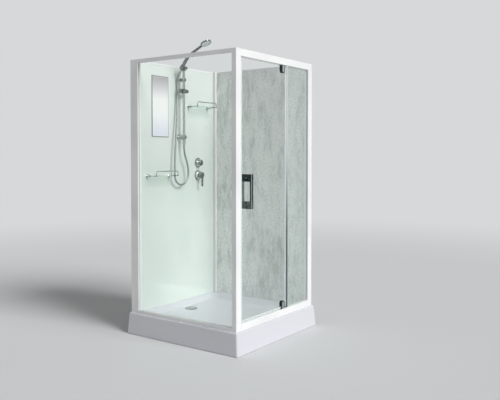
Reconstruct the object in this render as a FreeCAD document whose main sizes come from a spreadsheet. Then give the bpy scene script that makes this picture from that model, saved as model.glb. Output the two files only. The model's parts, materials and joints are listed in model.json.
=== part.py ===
"""A corner shower cabin on a square tray, with a pivot door, two wall panels and a hand shower.

Frame: millimetres, +Z up, origin on the floor under the middle of the tray. The door side faces -Y
and the fixed glass side faces -X. The room's walls are behind the +X and +Y sides.
"""
import FreeCAD, Part
import math
import os

import Sketcher

# Driving dimensions. Each is one cell of the sheet, under the alias given here.
SIZES = {
    # Tray
    "tray_side": 1000,
    "tray_height": 150,
    "skirt_lean": 19,
    "rim_round": 10,
    "tray_corner_round": 14,
    "tray_wall": 5,
    "skirt_floor_gap": 3,
    "back_lip": 45,
    "basin_open_margin": 85,
    "basin_wall_margin": 58,
    "basin_depth": 38,
    "basin_slope": 42,
    "basin_corner_round": 70,
    # Tray support
    "bar_width": 40,
    "bar_height": 30,
    "bar_gauge": 2,
    "bar_spacing": 560,
    "bar_length": 680,
    "foot_inset": 40,
    "foot_stud": 10,
    "foot_pad": 50,
    "foot_pad_height": 10,
    "foot_shoulder": 30,
    "foot_boss": 22,
    "foot_boss_height": 20,
    # Waste
    "waste_x": -2,
    "waste_wall_distance": 180,
    "waste_hole": 60,
    "waste_flange": 96,
    "waste_flange_lip": 2,
    "waste_tail": 22,
    "waste_seal": 2,
    "waste_cup": 88,
    "waste_floor_gap": 21,
    "waste_wall": 3,
    "waste_spigot": 40,
    "waste_spigot_inset": 50,
    "waste_collar": 50,
    "waste_collar_reach": 10,
    "waste_cover": 84,
    "waste_cover_crown": 5,
    "cover_clearance": 2,
    # Frame
    "frame_inset": 40,
    "frame_top": 1990,
    "frame_depth": 36,
    "corner_post_width": 55,
    "left_post_width": 36,
    "left_channel_width": 36,
    "right_post_width": 26,
    "right_channel_width": 26,
    "side_rail_depth": 30,
    "left_top_rail": 25,
    "left_bottom_rail": 22,
    "front_top_rail": 48,
    "front_bottom_rail": 45,
    "profile_wall": 2,
    "profile_round": 3,
    "post_cap": 3,
    "tongue": 12,
    "slip": 0.2,
    "wall_screw_hole": 6,
    "wall_screw_spacing": 1500,
    # Glazing
    "glass": 6,
    "glass_setback": 15,
    "gasket_wall": 2,
    "gasket_base": 3,
    "groove_depth": 12,
    "panel": 6,
    "panel_lip": 3,
    "side_panel_lip": 8,
    "hole_clearance": 1,
    "panel_bite": 8,
    "corner_leg_x": 20,
    "corner_leg_y": 25,
    "corner_bite": 10,
    "trim_wall": 1.5,
    "trim_height": 12,
    "edge_profile_x": 152,
    "edge_profile_width": 18,
    "edge_profile_depth": 16,
    "edge_profile_bite": 12,
    # Door
    "pivot_setback": 46,
    "strike_depth": 6,
    "strike_proud": 1,
    "magnet_gap": 0.6,
    "magnet": 8,
    "seal_wall": 2,
    "seal_leg": 8,
    "door_foot_gap": 10,
    "door_head_gap": 8,
    "hinge_gap": 4,
    "drip_clearance": 1,
    "clamp_width": 40,
    "clamp_height": 49,
    "clamp_plate": 9,
    "clamp_bridge": 6,
    "clamp_screw_drop": 24,
    "clamp_screw": 6,
    "clamp_screw_head": 11,
    "clamp_screw_dome": 3,
    "pivot_pin": 8,
    "pivot_pin_gap": 2,
    "bush_length": 26,
    "bush_collar": 16,
    "running_gap": 0.05,
    "rest_gap": 0.3,
    # Door handles
    "handle_inset": 71,
    "handle_rise": 910,
    "handle_height": 230,
    "handle_width": 22,
    "handle_depth": 42,
    "handle_grip": 15,
    "handle_leg": 50,
    "handle_round": 3,
    "handle_edge_round": 1.5,
    "handle_stud": 6,
    "handle_stud_bite": 9,
    "handle_washer": 20,
    "washer_thickness": 1,
    "glass_hole": 10,
    # Mirror and shelves
    "mirror_offset": 227,
    "mirror_drop": 322,
    "mirror_width": 180,
    "mirror_height": 460,
    "mirror_thickness": 5,
    "mirror_bevel": 2,
    "lower_shelf_offset": 203,
    "lower_shelf_drop": 848,
    "upper_shelf_offset": 216,
    "upper_shelf_drop": 306,
    "shelf_width": 258,
    "shelf_depth": 100,
    "shelf_glass": 6,
    "shelf_wall_gap": 6,
    "shelf_front_round": 18,
    "shelf_bracket_inset": 12,
    "shelf_bracket": 20,
    "shelf_bracket_reach": 30,
    "shelf_rose": 28,
    "shelf_rose_thickness": 4,
    "guard_rod": 8,
    "guard_height": 36,
    "guard_bend": 12,
    "guard_setback": 10,
    "guard_foot": 16,
    "guard_foot_height": 3,
    # Riser rail
    "riser_reach": 50,
    "riser": 20,
    "riser_wall": 1.5,
    "riser_drop": 5,
    "bracket_drop": 104,
    "bracket": 28,
    "bracket_nose": 16,
    "rose": 46,
    "rose_thickness": 6,
    "outlet_drop": 550,
    "outlet": 34,
    "outlet_rose": 62,
    "outlet_socket": 12,
    "outlet_tail": 24,
    "nipple": 20,
    "nipple_length": 35,
    "bottom_nut_length": 30,
    "nut_top": 26,
    "nut_bottom": 18,
    "nut_bite": 12,
    # Sliding clamp
    "slider_drop": 192,
    "slider": 32,
    "slider_height": 36,
    "slider_boss": 22,
    "slider_boss_reach": 24,
    "slider_knob": 30,
    "slider_knob_length": 20,
    "slider_knob_flute": 8,
    "slider_knob_stem": 8,
    "slider_cup_reach": 36,
    "slider_arm": 18,
    "cup": 36,
    "cup_height": 30,
    "cup_bore_top": 25.6,
    "cup_bore_bottom": 22.8,
    "cup_slot": 16,
    # Hand shower
    "holder": 30,
    "holder_height": 34,
    "holder_forward": 20,
    "holder_boss": 24,
    "holder_boss_reach": 16,
    "holder_pin": 10,
    "holder_pin_length": 9,
    "cup_reach": 40,
    "cup_hub": 24,
    "handset_lean_angle": 35,
    "handset_end": 20,
    "handset_straight": 40,
    "handset_bend_radius": 230,
    "handset_bend_angle": 29,
    "handset_neck": 18,
    "neck_bite": 4,
    "head": 84,
    "head_rim": 9,
    "head_dome": 12,
    "head_offset": 135,
    "head_back": 30,
    "head_lip": 5,
    "spray_recess": 3,
    "spray_proud": 1,
    "top_nut_length": 28,
    "top_nut_wide": 22,
    "hose": 14,
    "hose_bore": 9,
    # Valves
    "valve_offset": 216,
    "mixer_drop": 852,
    "diverter_drop": 751,
    "block_width": 84,
    "block_margin": 32,
    "block_depth": 23,
    "block_round": 12,
    "inlet_spacing": 56,
    "inlet_drop": 8,
    "inlet": 21,
    "inlet_reach": 43,
    "mixer_sleeve": 42,
    "mixer_sleeve_reach": 14,
    "mixer_shaft": 24,
    "mixer_shaft_bite": 22,
    "mixer_collar": 30,
    "mixer_plate": 80,
    "diverter_plate": 76,
    "plate_thickness": 8,
    "plate_edge": 2,
    "plate_flat": 6,
    "trunnion_setback": 13,
    "mixer_collar_nose": 3,
    "trunnion": 5,
    "trunnion_span": 46,
    "lever_head": 50,
    "lever_head_reach": 50,
    "lever_head_length": 22,
    "lever_head_round": 6,
    "lever_pocket": 41,
    "lever_front_wall": 4,
    "lever_length": 91,
    "lever_width": 16,
    "lever_thickness": 8,
    "diverter_sleeve": 30,
    "diverter_shaft": 12,
    "diverter_shaft_bite": 12,
    "diverter_neck": 22,
    "diverter_knob": 48,
    "diverter_reach": 38,
    "diverter_disc": 16,
    "diverter_round": 4,
    "pointer_width": 7,
    "pointer_length": 40,
    "pointer_height": 4,
    "pipe": 15,
    "pipe_bite": 6,
    "pipe_bend": 45,
}

# The hose's points between its two nuts, from the top one down: how far each is to the right of the
# riser rail, in front of the rear panel and above the outlet.
HOSE_POINTS = [
    (-32, 12, 390),
    (-42, 18, 305),
    (-53, 25, 205),
    (-65, 31, 95),
    (-79, 36, -15),
    (-91, 39, -122),
    (-97, 40, -228),
    (-97, 39, -323),
    (-51, 37, -370),
    (15, 37, -370),
    (61, 39, -323),
    (60, 42, -255),
    (40, 45, -190),
]

document = FreeCAD.newDocument("shower_cabin")
sheet = document.addObject("Spreadsheet::Sheet", "Sizes")
for row, (alias, number) in enumerate(SIZES.items(), start=1):
    sheet.set(f"A{row}", alias)
    sheet.set(f"B{row}", str(number))
    sheet.setAlias(f"B{row}", alias)
document.recompute()


class Size:
    """A length that is an expression on the sheet's cells and also has its present value."""

    def __init__(self, text, value):
        self.text = text
        self.value = value

    def __add__(self, other):
        other = size_of(other)
        return Size(f"({self.text} + {other.text})", self.value + other.value)

    def __sub__(self, other):
        other = size_of(other)
        return Size(f"({self.text} - {other.text})", self.value - other.value)

    def __mul__(self, other):
        other = size_of(other)
        return Size(f"({self.text} * {other.text})", self.value * other.value)

    def __truediv__(self, other):
        other = size_of(other)
        return Size(f"({self.text} / {other.text})", self.value / other.value)

    def __radd__(self, other):
        return size_of(other) + self

    def __rsub__(self, other):
        return size_of(other) - self

    def __rmul__(self, other):
        return size_of(other) * self

    def __neg__(self):
        return Size(f"(0 - {self.text})", -self.value)


def size_of(value):
    """A plain number as a Size, or the Size itself."""
    if isinstance(value, Size):
        return value
    return Size(f"{value}", value)


def sine(angle):
    return Size(f"sin({angle.text} * 1 deg)", math.sin(math.radians(angle.value)))


def cosine(angle):
    return Size(f"cos({angle.text} * 1 deg)", math.cos(math.radians(angle.value)))


class Cells:
    """The sheet's cells as Sizes, one attribute for each alias."""

    def __getattr__(self, alias):
        return Size(f"Sizes.{alias}", float(sheet.get(alias)))


cell = Cells()


def bind(item, path, size):
    item.setExpression(path, size_of(size).text)


class Disc:
    """A circle in a sketch."""

    def __init__(self, x, y, diameter):
        self.x = size_of(x)
        self.y = size_of(y)
        self.radius = size_of(diameter) / 2


def rectangle(x_low, x_high, y_low, y_high, corner_round=None):
    """The corners of a rectangle, rounded if a radius is given."""
    corners = [(x_low, y_low), (x_high, y_low), (x_high, y_high), (x_low, y_high)]
    if corner_round is None:
        return corners
    return [(x, y, corner_round) for x, y in corners]


def pin_point(sketch, geometry, position, x, y):
    """Holds a point of the sketch at x, y."""
    for kind, value in (("DistanceX", x), ("DistanceY", y)):
        index = sketch.addConstraint(
            Sketcher.Constraint(kind, -1, 1, geometry, position, value.value)
        )
        bind(sketch, f"Constraints[{index}]", value)


def draw_disc(sketch, disc):
    centre = FreeCAD.Vector(disc.x.value, disc.y.value, 0)
    circle = Part.Circle(centre, FreeCAD.Vector(0, 0, 1), disc.radius.value)
    geometry = sketch.addGeometry(circle)
    pin_point(sketch, geometry, 3, disc.x, disc.y)
    index = sketch.addConstraint(
        Sketcher.Constraint("Radius", geometry, disc.radius.value)
    )
    bind(sketch, f"Constraints[{index}]", disc.radius)


def draw_line(sketch, corners, closed):
    """Draws a line through corners. A corner's third value, where it has one, is its rounding."""
    count = len(corners)
    points = [
        FreeCAD.Vector(size_of(corner[0]).value, size_of(corner[1]).value, 0)
        for corner in corners
    ]
    arrive = list(points)
    leave = list(points)
    arcs = {}
    for i, corner in enumerate(corners):
        if len(corner) < 3:
            continue
        radius = size_of(corner[2])
        back = (points[i - 1] - points[i]).normalize()
        ahead = (points[(i + 1) % count] - points[i]).normalize()
        half = back.getAngle(ahead) / 2
        arrive[i] = points[i] + back * (radius.value / math.tan(half))
        leave[i] = points[i] + ahead * (radius.value / math.tan(half))
        towards = (back + ahead).normalize()
        centre = points[i] + towards * (radius.value / math.sin(half))
        turns_left = back.cross(ahead).z < 0
        first, last = (arrive[i], leave[i]) if turns_left else (leave[i], arrive[i])
        angles = [math.atan2((p - centre).y, (p - centre).x) for p in (first, last)]
        circle = Part.Circle(centre, FreeCAD.Vector(0, 0, 1), radius.value)
        arc = sketch.addGeometry(Part.ArcOfCircle(circle, *angles))
        arcs[i] = (arc, turns_left, radius)
    lines = []
    for i in range(count if closed else count - 1):
        segment = Part.LineSegment(leave[i], arrive[(i + 1) % count])
        lines.append(sketch.addGeometry(segment))
    for i, corner in enumerate(corners):
        x, y = size_of(corner[0]), size_of(corner[1])
        if not closed and i == count - 1:
            pin_point(sketch, lines[i - 1], 2, x, y)
            continue
        if i not in arcs:
            pin_point(sketch, lines[i], 1, x, y)
            if closed or i > 0:
                sketch.addConstraint(
                    Sketcher.Constraint("Coincident", lines[i - 1], 2, lines[i], 1)
                )
            continue
        arc, turns_left, radius = arcs[i]
        point = sketch.addGeometry(Part.Point(points[i]), True)
        pin_point(sketch, point, 1, x, y)
        start, end = (1, 2) if turns_left else (2, 1)
        sketch.addConstraint(
            [
                Sketcher.Constraint("PointOnObject", point, 1, lines[i - 1]),
                Sketcher.Constraint("PointOnObject", point, 1, lines[i]),
                Sketcher.Constraint("Tangent", lines[i - 1], 2, arc, start),
                Sketcher.Constraint("Tangent", lines[i], 1, arc, end),
            ]
        )
        index = sketch.addConstraint(
            Sketcher.Constraint("Radius", arc, radius.value)
        )
        bind(sketch, f"Constraints[{index}]", radius)


nodes = {}


class Piece:
    """One body, built up feature by feature, with its place bound to the sheet."""

    def __init__(self, label, x=0, y=0, z=0, node=True):
        self.body = document.addObject("PartDesign::Body", label)
        self.body.Label = label
        for axis, value in zip("xyz", (x, y, z)):
            bind(self.body, f"Placement.Base.{axis}", value)
        if node:
            nodes[label] = self.body

    def lean(self, angle):
        """Turns the body about the X axis through its place."""
        self.body.Placement.Rotation = FreeCAD.Rotation(FreeCAD.Vector(1, 0, 0), 1)
        bind(self.body, "Placement.Rotation.Angle", angle)
        return self

    def sketch(self, plane, level, loops, closed=True):
        """A sketch on one of the body's own planes, moved along the plane's normal to level."""
        role = f"{plane}_Plane"
        support = next(f for f in self.body.Origin.OriginFeatures if f.Role == role)
        sketch = self.body.newObject("Sketcher::SketchObject", "Sketch")
        sketch.AttachmentSupport = [(support, "")]
        sketch.MapMode = "FlatFace"
        bind(sketch, "AttachmentOffset.Base.z", level)
        for loop in loops:
            if isinstance(loop, Disc):
                draw_disc(sketch, loop)
            else:
                draw_line(sketch, loop, closed)
        sketch.Visibility = False
        return sketch

    def pad(self, plane, low, high, *loops):
        """Adds the loops' area between two levels of the plane's axis."""
        low, high = size_of(low), size_of(high)
        level = -high if plane == "XZ" else low
        feature = self.body.newObject("PartDesign::Pad", "Pad")
        feature.Profile = self.sketch(plane, level, loops)
        bind(feature, "Length", high - low)
        return self

    def cut(self, plane, low, high, *loops):
        """Cuts the loops' area away between two levels of the plane's axis."""
        low, high = size_of(low), size_of(high)
        level = -low if plane == "XZ" else high
        feature = self.body.newObject("PartDesign::Pocket", "Pocket")
        feature.Profile = self.sketch(plane, level, loops)
        bind(feature, "Length", high - low)
        return self

    def turn(self, plane, corners, axis="V_Axis", kind="Revolution"):
        """Turns an outline full circle about the sketch's own vertical or horizontal axis."""
        sketch = self.sketch(plane, 0, [corners])
        feature = self.body.newObject(f"PartDesign::{kind}", kind)
        feature.Profile = sketch
        feature.ReferenceAxis = (sketch, [axis])
        feature.Angle = 360
        return self

    def loft(self, plane, sections, kind="AdditiveLoft"):
        """A straight loft through (level, loop) sections on parallel planes."""
        sketches = [self.sketch(plane, level, [loop]) for level, loop in sections]
        feature = self.body.newObject(f"PartDesign::{kind}", kind)
        feature.Profile = sketches[0]
        feature.Sections = sketches[1:]
        feature.Ruled = True
        return self

    def pipe(self, path, section):
        """A round rod along an open path sketch."""
        document.recompute()
        feature = self.body.newObject("PartDesign::AdditivePipe", "Pipe")
        feature.Profile = section
        feature.Spine = (path, [f"Edge{i}" for i in range(1, len(path.Shape.Edges) + 1)])
        return self

    def dress(self, kind, size_property, size, wanted):
        """A fillet or chamfer on the edges of the present shape for which wanted(edge) is true."""
        document.recompute()
        base = self.body.Tip
        names = [
            f"Edge{i}" for i, edge in enumerate(base.Shape.Edges, 1) if wanted(edge)
        ]
        feature = self.body.newObject(f"PartDesign::{kind}", kind)
        feature.Base = (base, names)
        bind(feature, size_property, size)
        return self


def group(label, pieces):
    """Several like pieces that share one node."""
    compound = document.addObject("Part::Compound", label)
    compound.Label = label
    compound.Links = [piece.body for piece in pieces]
    nodes[label] = compound


# Places that several pieces share
half_tray = cell.tray_side / 2
face = half_tray - cell.frame_inset
deck = cell.tray_height
frame_top = cell.frame_top
post_top = frame_top - cell.post_cap
rear_face = half_tray - cell.left_channel_width - cell.panel_lip - cell.panel
side_face = half_tray - cell.right_channel_width - cell.side_panel_lip - cell.panel
glass_plane = cell.glass_setback - face
groove_width = cell.glass + 2 * cell.gasket_wall
groove_low = cell.glass_setback - groove_width / 2
groove_high = cell.glass_setback + groove_width / 2
post_front_end = cell.corner_post_width - face
post_side_end = cell.frame_depth - face
left_post_y = half_tray - cell.left_channel_width - cell.left_post_width
right_post_x = half_tray - cell.right_channel_width - cell.right_post_width
basin_low = cell.basin_open_margin - half_tray
basin_high = half_tray - cell.basin_wall_margin
basin_floor = deck - cell.basin_depth
tray_underside = basin_floor - cell.tray_wall
sill = deck + cell.front_bottom_rail
lintel = frame_top - cell.front_top_rail
door_bottom = sill + cell.door_foot_gap
door_top = lintel - cell.door_head_gap
door_free_edge = (
    post_front_end
    + cell.strike_proud
    + cell.magnet_gap
    + cell.magnet
    + cell.seal_wall
)
door_hinge_edge = cell.edge_profile_x - cell.hinge_gap
pivot_x = cell.edge_profile_x - cell.pivot_setback
handle_x = door_free_edge + cell.handle_inset
handle_z = deck + cell.handle_rise
mirror_x = post_side_end + cell.mirror_offset
mirror_z = frame_top - cell.mirror_drop
lower_shelf_x = post_side_end + cell.lower_shelf_offset
lower_shelf_z = frame_top - cell.lower_shelf_drop
upper_shelf_x = side_face - cell.upper_shelf_offset
upper_shelf_z = frame_top - cell.upper_shelf_drop
riser_x = (post_side_end + side_face) / 2
riser_y = rear_face - cell.riser_reach
riser_top = frame_top - cell.riser_drop
bracket_z = frame_top - cell.bracket_drop
slider_z = frame_top - cell.slider_drop
outlet_z = frame_top - cell.outlet_drop
nipple_end = outlet_z - cell.nipple_length
bottom_nut_end = nipple_end - cell.bottom_nut_length
mixer_x = side_face - cell.valve_offset
mixer_z = frame_top - cell.mixer_drop
diverter_z = frame_top - cell.diverter_drop
pipe_depth = cell.panel + cell.block_depth / 2
waste_y = half_tray - cell.waste_wall_distance


def make_tray():
    """The moulded tray: a drafted shell with a sloped basin, open underneath and at the wall sides."""
    tray = Piece("shower_tray")
    wall = cell.tray_wall
    corner = cell.tray_corner_round
    top_edge = cell.skirt_lean - half_tray

    def footprint(low, high, corner_round):
        return [
            (low, low, corner_round),
            (high, low),
            (high, high),
            (low, high),
        ]

    # The open sides lean in to the rim and round over onto the deck in a few short steps.
    rim_round = cell.rim_round
    sections = [(cell.skirt_floor_gap, footprint(-half_tray, half_tray, corner))]
    steps = 6
    for i in range(steps + 1):
        turn = math.pi / 2 * i / steps
        level = deck - rim_round * (1 - math.sin(turn))
        inset = rim_round * (1 - math.cos(turn))
        sections.append((level, footprint(top_edge + inset, half_tray, corner)))
    tray.loft("XY", sections)
    tray.loft(
        "XY",
        [
            (cell.skirt_floor_gap, footprint(wall - half_tray, half_tray - wall, corner)),
            (deck - wall, footprint(wall + top_edge, half_tray - wall, corner)),
        ],
        "SubtractiveLoft",
    )

    def bowl(spread):
        slope = cell.basin_slope
        rounding = cell.basin_corner_round
        rim = rectangle(
            basin_low - spread,
            basin_high + spread,
            basin_low - spread,
            basin_high + spread,
            rounding + spread,
        )
        bed = rectangle(
            basin_low + slope - spread,
            basin_high - slope + spread,
            basin_low + slope - spread,
            basin_high - slope + spread,
            rounding - slope / 2 + spread,
        )
        return rim, bed

    rim, bed = bowl(wall)
    tray.loft("XY", [(deck - wall, rim), (tray_underside, bed)])
    rim, bed = bowl(0)
    tray.loft("XY", [(deck, rim), (basin_floor, bed)], "SubtractiveLoft")
    lip = deck - cell.back_lip
    outside = half_tray + wall
    inside = half_tray - 2 * wall
    tray.cut("XY", 0, lip, rectangle(inside, outside, basin_low, outside))
    tray.cut("XY", 0, lip, rectangle(basin_low, outside, inside, outside))
    hole = Disc(cell.waste_x, waste_y, cell.waste_hole)
    tray.cut("XY", tray_underside - wall, deck, hole)


def make_tray_support():
    """The welded frame of folded channels under the basin, and its screw feet."""
    frame = Piece("tray_frame")
    web_low = tray_underside - cell.bar_gauge

    def bars(inset):
        outer = cell.bar_spacing / 2 + cell.bar_width / 2 - inset
        inner = cell.bar_spacing / 2 - cell.bar_width / 2 + inset
        end = cell.bar_length / 2 - inset
        cross = cell.bar_width / 2 - inset
        return [
            (-outer, -end),
            (-inner, -end),
            (-inner, -cross),
            (inner, -cross),
            (inner, -end),
            (outer, -end),
            (outer, end),
            (inner, end),
            (inner, cross),
            (-inner, cross),
            (-inner, end),
            (-outer, end),
        ]

    bottom = tray_underside - cell.bar_height
    frame.pad("XY", bottom, tray_underside, bars(0))
    frame.cut("XY", bottom, web_low, bars(cell.bar_gauge))
    x, y = cell.bar_spacing / 2, cell.bar_length / 2 - cell.foot_inset
    places = [(-x, -y), (x, -y), (x, y), (-x, y), (0, 0)]
    boss_low = web_low - cell.foot_boss_height
    bore = cell.foot_stud + 2 * cell.running_gap
    frame.pad("XY", boss_low, web_low, *[Disc(*p, cell.foot_boss) for p in places])
    frame.cut("XY", boss_low, web_low, *[Disc(*p, bore) for p in places])

    feet = Piece("tray_feet")
    pad_edge = cell.foot_pad_height / 2
    stud_top = web_low - cell.rest_gap
    shoulder = cell.foot_shoulder
    feet.pad("XY", 0, pad_edge, *[Disc(*p, cell.foot_pad) for p in places])
    feet.pad("XY", pad_edge, cell.foot_pad_height, *[Disc(*p, shoulder) for p in places])
    feet.pad("XY", pad_edge, stud_top, *[Disc(*p, cell.foot_stud) for p in places])


def make_waste():
    """The waste: a flange and a trap that clamp the tray's floor, a seal and a lift-off cover."""
    x, y = cell.waste_x, waste_y
    flange = Piece("waste_flange", x, y, basin_floor)
    tail = cell.waste_hole / 2 - cell.slip
    bore = tail - cell.waste_wall
    lip = cell.waste_flange / 2
    drop = -(cell.tray_wall + cell.waste_seal + cell.waste_tail)
    flange.turn(
        "XZ",
        [
            (bore, drop),
            (tail, drop),
            (tail, 0),
            (lip, 0),
            (lip, cell.waste_flange_lip / 2),
            (lip - cell.waste_flange_lip, cell.waste_flange_lip),
            (bore, cell.waste_flange_lip),
        ],
    )
    seal = Piece("waste_seal", x, y, tray_underside - cell.waste_seal)
    cup = cell.waste_cup
    seal_hole = cell.waste_hole + 2 * cell.slip
    seal.pad("XY", 0, cell.waste_seal, Disc(0, 0, cup), Disc(0, 0, seal_hole))

    trap_top = tray_underside - cell.waste_seal
    trap = Piece("waste_trap", x, y, cell.waste_floor_gap)
    rise = trap_top - cell.waste_floor_gap
    spigot_z = rise / 2
    spigot_end = half_tray - cell.waste_spigot_inset - y
    spigot_bore = cell.waste_spigot - 2 * cell.waste_wall
    cup_bore = cup - 2 * cell.waste_wall
    trap.pad("XY", 0, rise, Disc(0, 0, cup))
    collar_end = cup / 2 + cell.waste_collar_reach
    trap.pad("XZ", 0, collar_end, Disc(0, spigot_z, cell.waste_collar))
    trap.pad("XZ", 0, spigot_end, Disc(0, spigot_z, cell.waste_spigot))
    trap.cut("XY", cell.waste_wall, rise - cell.waste_wall, Disc(0, 0, cup_bore))
    neck = cell.waste_hole - 2 * (cell.slip - cell.running_gap)
    trap.cut("XY", cell.waste_wall, rise, Disc(0, 0, neck))
    trap.cut("XZ", 0, spigot_end, Disc(0, spigot_z, spigot_bore))

    cover = Piece("waste_cover", x, y, basin_floor + cell.waste_flange_lip)
    radius = cell.waste_cover / 2
    crown = cell.waste_cover_crown
    gap = cell.rest_gap
    plug = bore - cell.cover_clearance
    cover.turn(
        "XZ",
        [
            (0, gap),
            (plug - cell.waste_wall, gap),
            (plug - cell.waste_wall, gap - cell.waste_tail / 2),
            (plug, gap - cell.waste_tail / 2),
            (plug, gap),
            (radius, gap),
            (radius, gap + crown / 2),
            (radius - crown, gap + crown * 0.8),
            (0, gap + crown),
        ],
    )


def make_posts():
    """The four upright frame extrusions, with their glass grooves, panel slots and hollows."""
    wall, depth = cell.profile_wall, cell.frame_depth
    rounding = cell.profile_round
    groove = cell.groove_depth
    height = post_top - deck
    width = cell.corner_post_width
    strike = width - cell.strike_depth
    Piece("corner_post", -face, -face, deck).pad(
        "XY",
        0,
        height,
        [
            (0, 0, rounding),
            (width, 0, rounding),
            (width, groove_low),
            (strike, groove_low),
            (strike, groove_high),
            (width, groove_high),
            (width, depth),
            (groove_high, depth),
            (groove_high, depth - groove),
            (groove_low, depth - groove),
            (groove_low, depth),
            (0, depth),
        ],
        rectangle(wall, strike - wall, wall, depth - groove - wall),
        rectangle(groove_high + wall, width - wall, depth - groove, depth - wall),
    )

    width = cell.left_post_width
    near = wall + cell.slip
    far = depth - wall - cell.slip
    slot = depth - cell.panel_bite
    slot_low = rear_face - left_post_y - cell.slip
    slot_high = rear_face + cell.panel - left_post_y + cell.slip
    end = width + cell.tongue
    Piece("left_post", -face, left_post_y, deck).pad(
        "XY",
        0,
        height,
        [
            (0, 0, rounding),
            (groove_low, 0),
            (groove_low, groove),
            (groove_high, groove),
            (groove_high, 0),
            (depth, 0),
            (depth, slot_low),
            (slot, slot_low),
            (slot, slot_high),
            (depth, slot_high),
            (depth, width),
            (far, width),
            (far, end),
            (near, end),
            (near, width),
            (0, width),
        ],
        rectangle(near + wall, slot - wall, groove + wall, end - wall),
    )

    width = cell.right_post_width
    slot_low = side_face - right_post_x - cell.slip
    slot_high = side_face + cell.panel - right_post_x + cell.slip
    end = width + cell.tongue
    Piece("right_post", right_post_x, -face, deck).pad(
        "XY",
        0,
        height,
        [
            (0, 0, rounding),
            (width, 0),
            (width, near),
            (end, near),
            (end, far),
            (width, far),
            (width, depth),
            (slot_high, depth),
            (slot_high, slot),
            (slot_low, slot),
            (slot_low, depth),
            (0, depth),
            (0, groove_high),
            (groove, groove_high),
            (groove, groove_low),
            (0, groove_low),
        ],
        rectangle(groove + wall, end - wall, near + wall, slot - wall),
    )

    leg_x, leg_y = cell.corner_leg_x, cell.corner_leg_y
    bite = cell.corner_bite
    x_low, x_high = leg_x - cell.slip, leg_x + cell.panel + cell.slip
    y_low, y_high = leg_y - cell.slip, leg_y + cell.panel + cell.slip
    Piece("rear_corner_profile", side_face - leg_x, rear_face - leg_y, deck).pad(
        "XY",
        0,
        frame_top - deck,
        [
            (0, 0, rounding),
            (x_low, 0),
            (x_low, bite),
            (x_high, bite),
            (x_high, 0),
            (x_high + 2 * wall, 0),
            (x_high + 2 * wall, y_high + 2 * wall),
            (0, y_high + 2 * wall),
            (0, y_high),
            (bite, y_high),
            (bite, y_low),
            (0, y_low),
        ],
        rectangle(wall, x_low - wall, wall, y_low - wall),
    )


def make_wall_channels():
    """The two channels that are screwed to the room's walls and take the posts' tongues."""
    wall, depth = cell.profile_wall, cell.frame_depth
    height = post_top - deck
    hole = cell.wall_screw_hole
    middle = height / 2
    levels = [middle - cell.wall_screw_spacing / 2, middle + cell.wall_screw_spacing / 2]

    width = cell.left_channel_width
    left = Piece("left_wall_channel", -face, half_tray - width, deck)
    left.pad(
        "XY",
        0,
        height,
        [
            (0, 0),
            (wall, 0),
            (wall, width - wall),
            (depth - wall, width - wall),
            (depth - wall, 0),
            (depth, 0),
            (depth, width),
            (0, width),
        ],
    )
    holes = [Disc(depth / 2, level, hole) for level in levels]
    left.cut("XZ", width - 2 * wall, width + wall, *holes)

    width = cell.right_channel_width
    right = Piece("right_wall_channel", half_tray - width, -face, deck)
    right.pad(
        "XY",
        0,
        height,
        [
            (0, 0),
            (width, 0),
            (width, depth),
            (0, depth),
            (0, depth - wall),
            (width - wall, depth - wall),
            (width - wall, wall),
            (0, wall),
        ],
    )
    holes = [Disc(depth / 2, level, hole) for level in levels]
    right.cut("YZ", width - 2 * wall, width + wall, *holes)


def rail_section(depth, height, opens_up):
    """The outline and hollow of a rail with a glass groove in its upper or lower side."""
    wall, groove = cell.profile_wall, cell.groove_depth
    rounding = cell.profile_round
    if opens_up:
        outline = [
            (0, 0),
            (depth, 0),
            (depth, height, rounding),
            (groove_high, height),
            (groove_high, height - groove),
            (groove_low, height - groove),
            (groove_low, height),
            (0, height, rounding),
        ]
        hollow = rectangle(wall, depth - wall, wall, height - groove - wall)
        return outline, hollow
    outline = [
        (0, 0, rounding),
        (groove_low, 0),
        (groove_low, groove),
        (groove_high, groove),
        (groove_high, 0),
        (depth, 0, rounding),
        (depth, height),
        (0, height),
    ]
    hollow = rectangle(wall, depth - wall, groove + wall, height - wall)
    return outline, hollow


def make_rails():
    """The rails between the posts, and the strips that close the grooves over and under the door."""
    depth = cell.side_rail_depth
    height = cell.left_top_rail
    section = rail_section(depth, height, False)
    rail = Piece("left_top_rail", -face, 0, frame_top - height)
    rail.pad("XZ", post_side_end, left_post_y, *section)
    section = rail_section(depth, cell.left_bottom_rail, True)
    rail = Piece("left_bottom_rail", -face, 0, deck)
    rail.pad("XZ", post_side_end, left_post_y, *section)

    depth = cell.frame_depth
    section = rail_section(depth, cell.front_top_rail, False)
    rail = Piece("front_top_rail", 0, -face, lintel)
    rail.pad("YZ", post_front_end, right_post_x, *section)
    section = rail_section(depth, cell.front_bottom_rail, True)
    rail = Piece("front_bottom_rail", 0, -face, deck)
    rail.pad("YZ", post_front_end, right_post_x, *section)

    infills = []
    skin = cell.trim_wall
    groove = cell.groove_depth
    bush = cell.bush_length / 2
    fixed_start = cell.edge_profile_x + cell.edge_profile_width - cell.edge_profile_bite
    stretches = [
        (post_front_end, pivot_x - bush),
        (pivot_x + bush, fixed_start),
    ]
    for level, sign in ((lintel, 1), (sill, -1)):
        for start, end in stretches:
            strip = Piece("rail_infill", 0, groove_low - face, level, node=False)
            outline = [
                (0, 0),
                (groove_width, 0),
                (groove_width, sign * groove),
                (groove_width - skin, sign * groove),
                (groove_width - skin, sign * skin),
                (skin, sign * skin),
                (skin, sign * groove),
                (0, sign * groove),
            ]
            infills.append(strip.pad("YZ", start, end, outline))
    group("rail_infills", infills)


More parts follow.
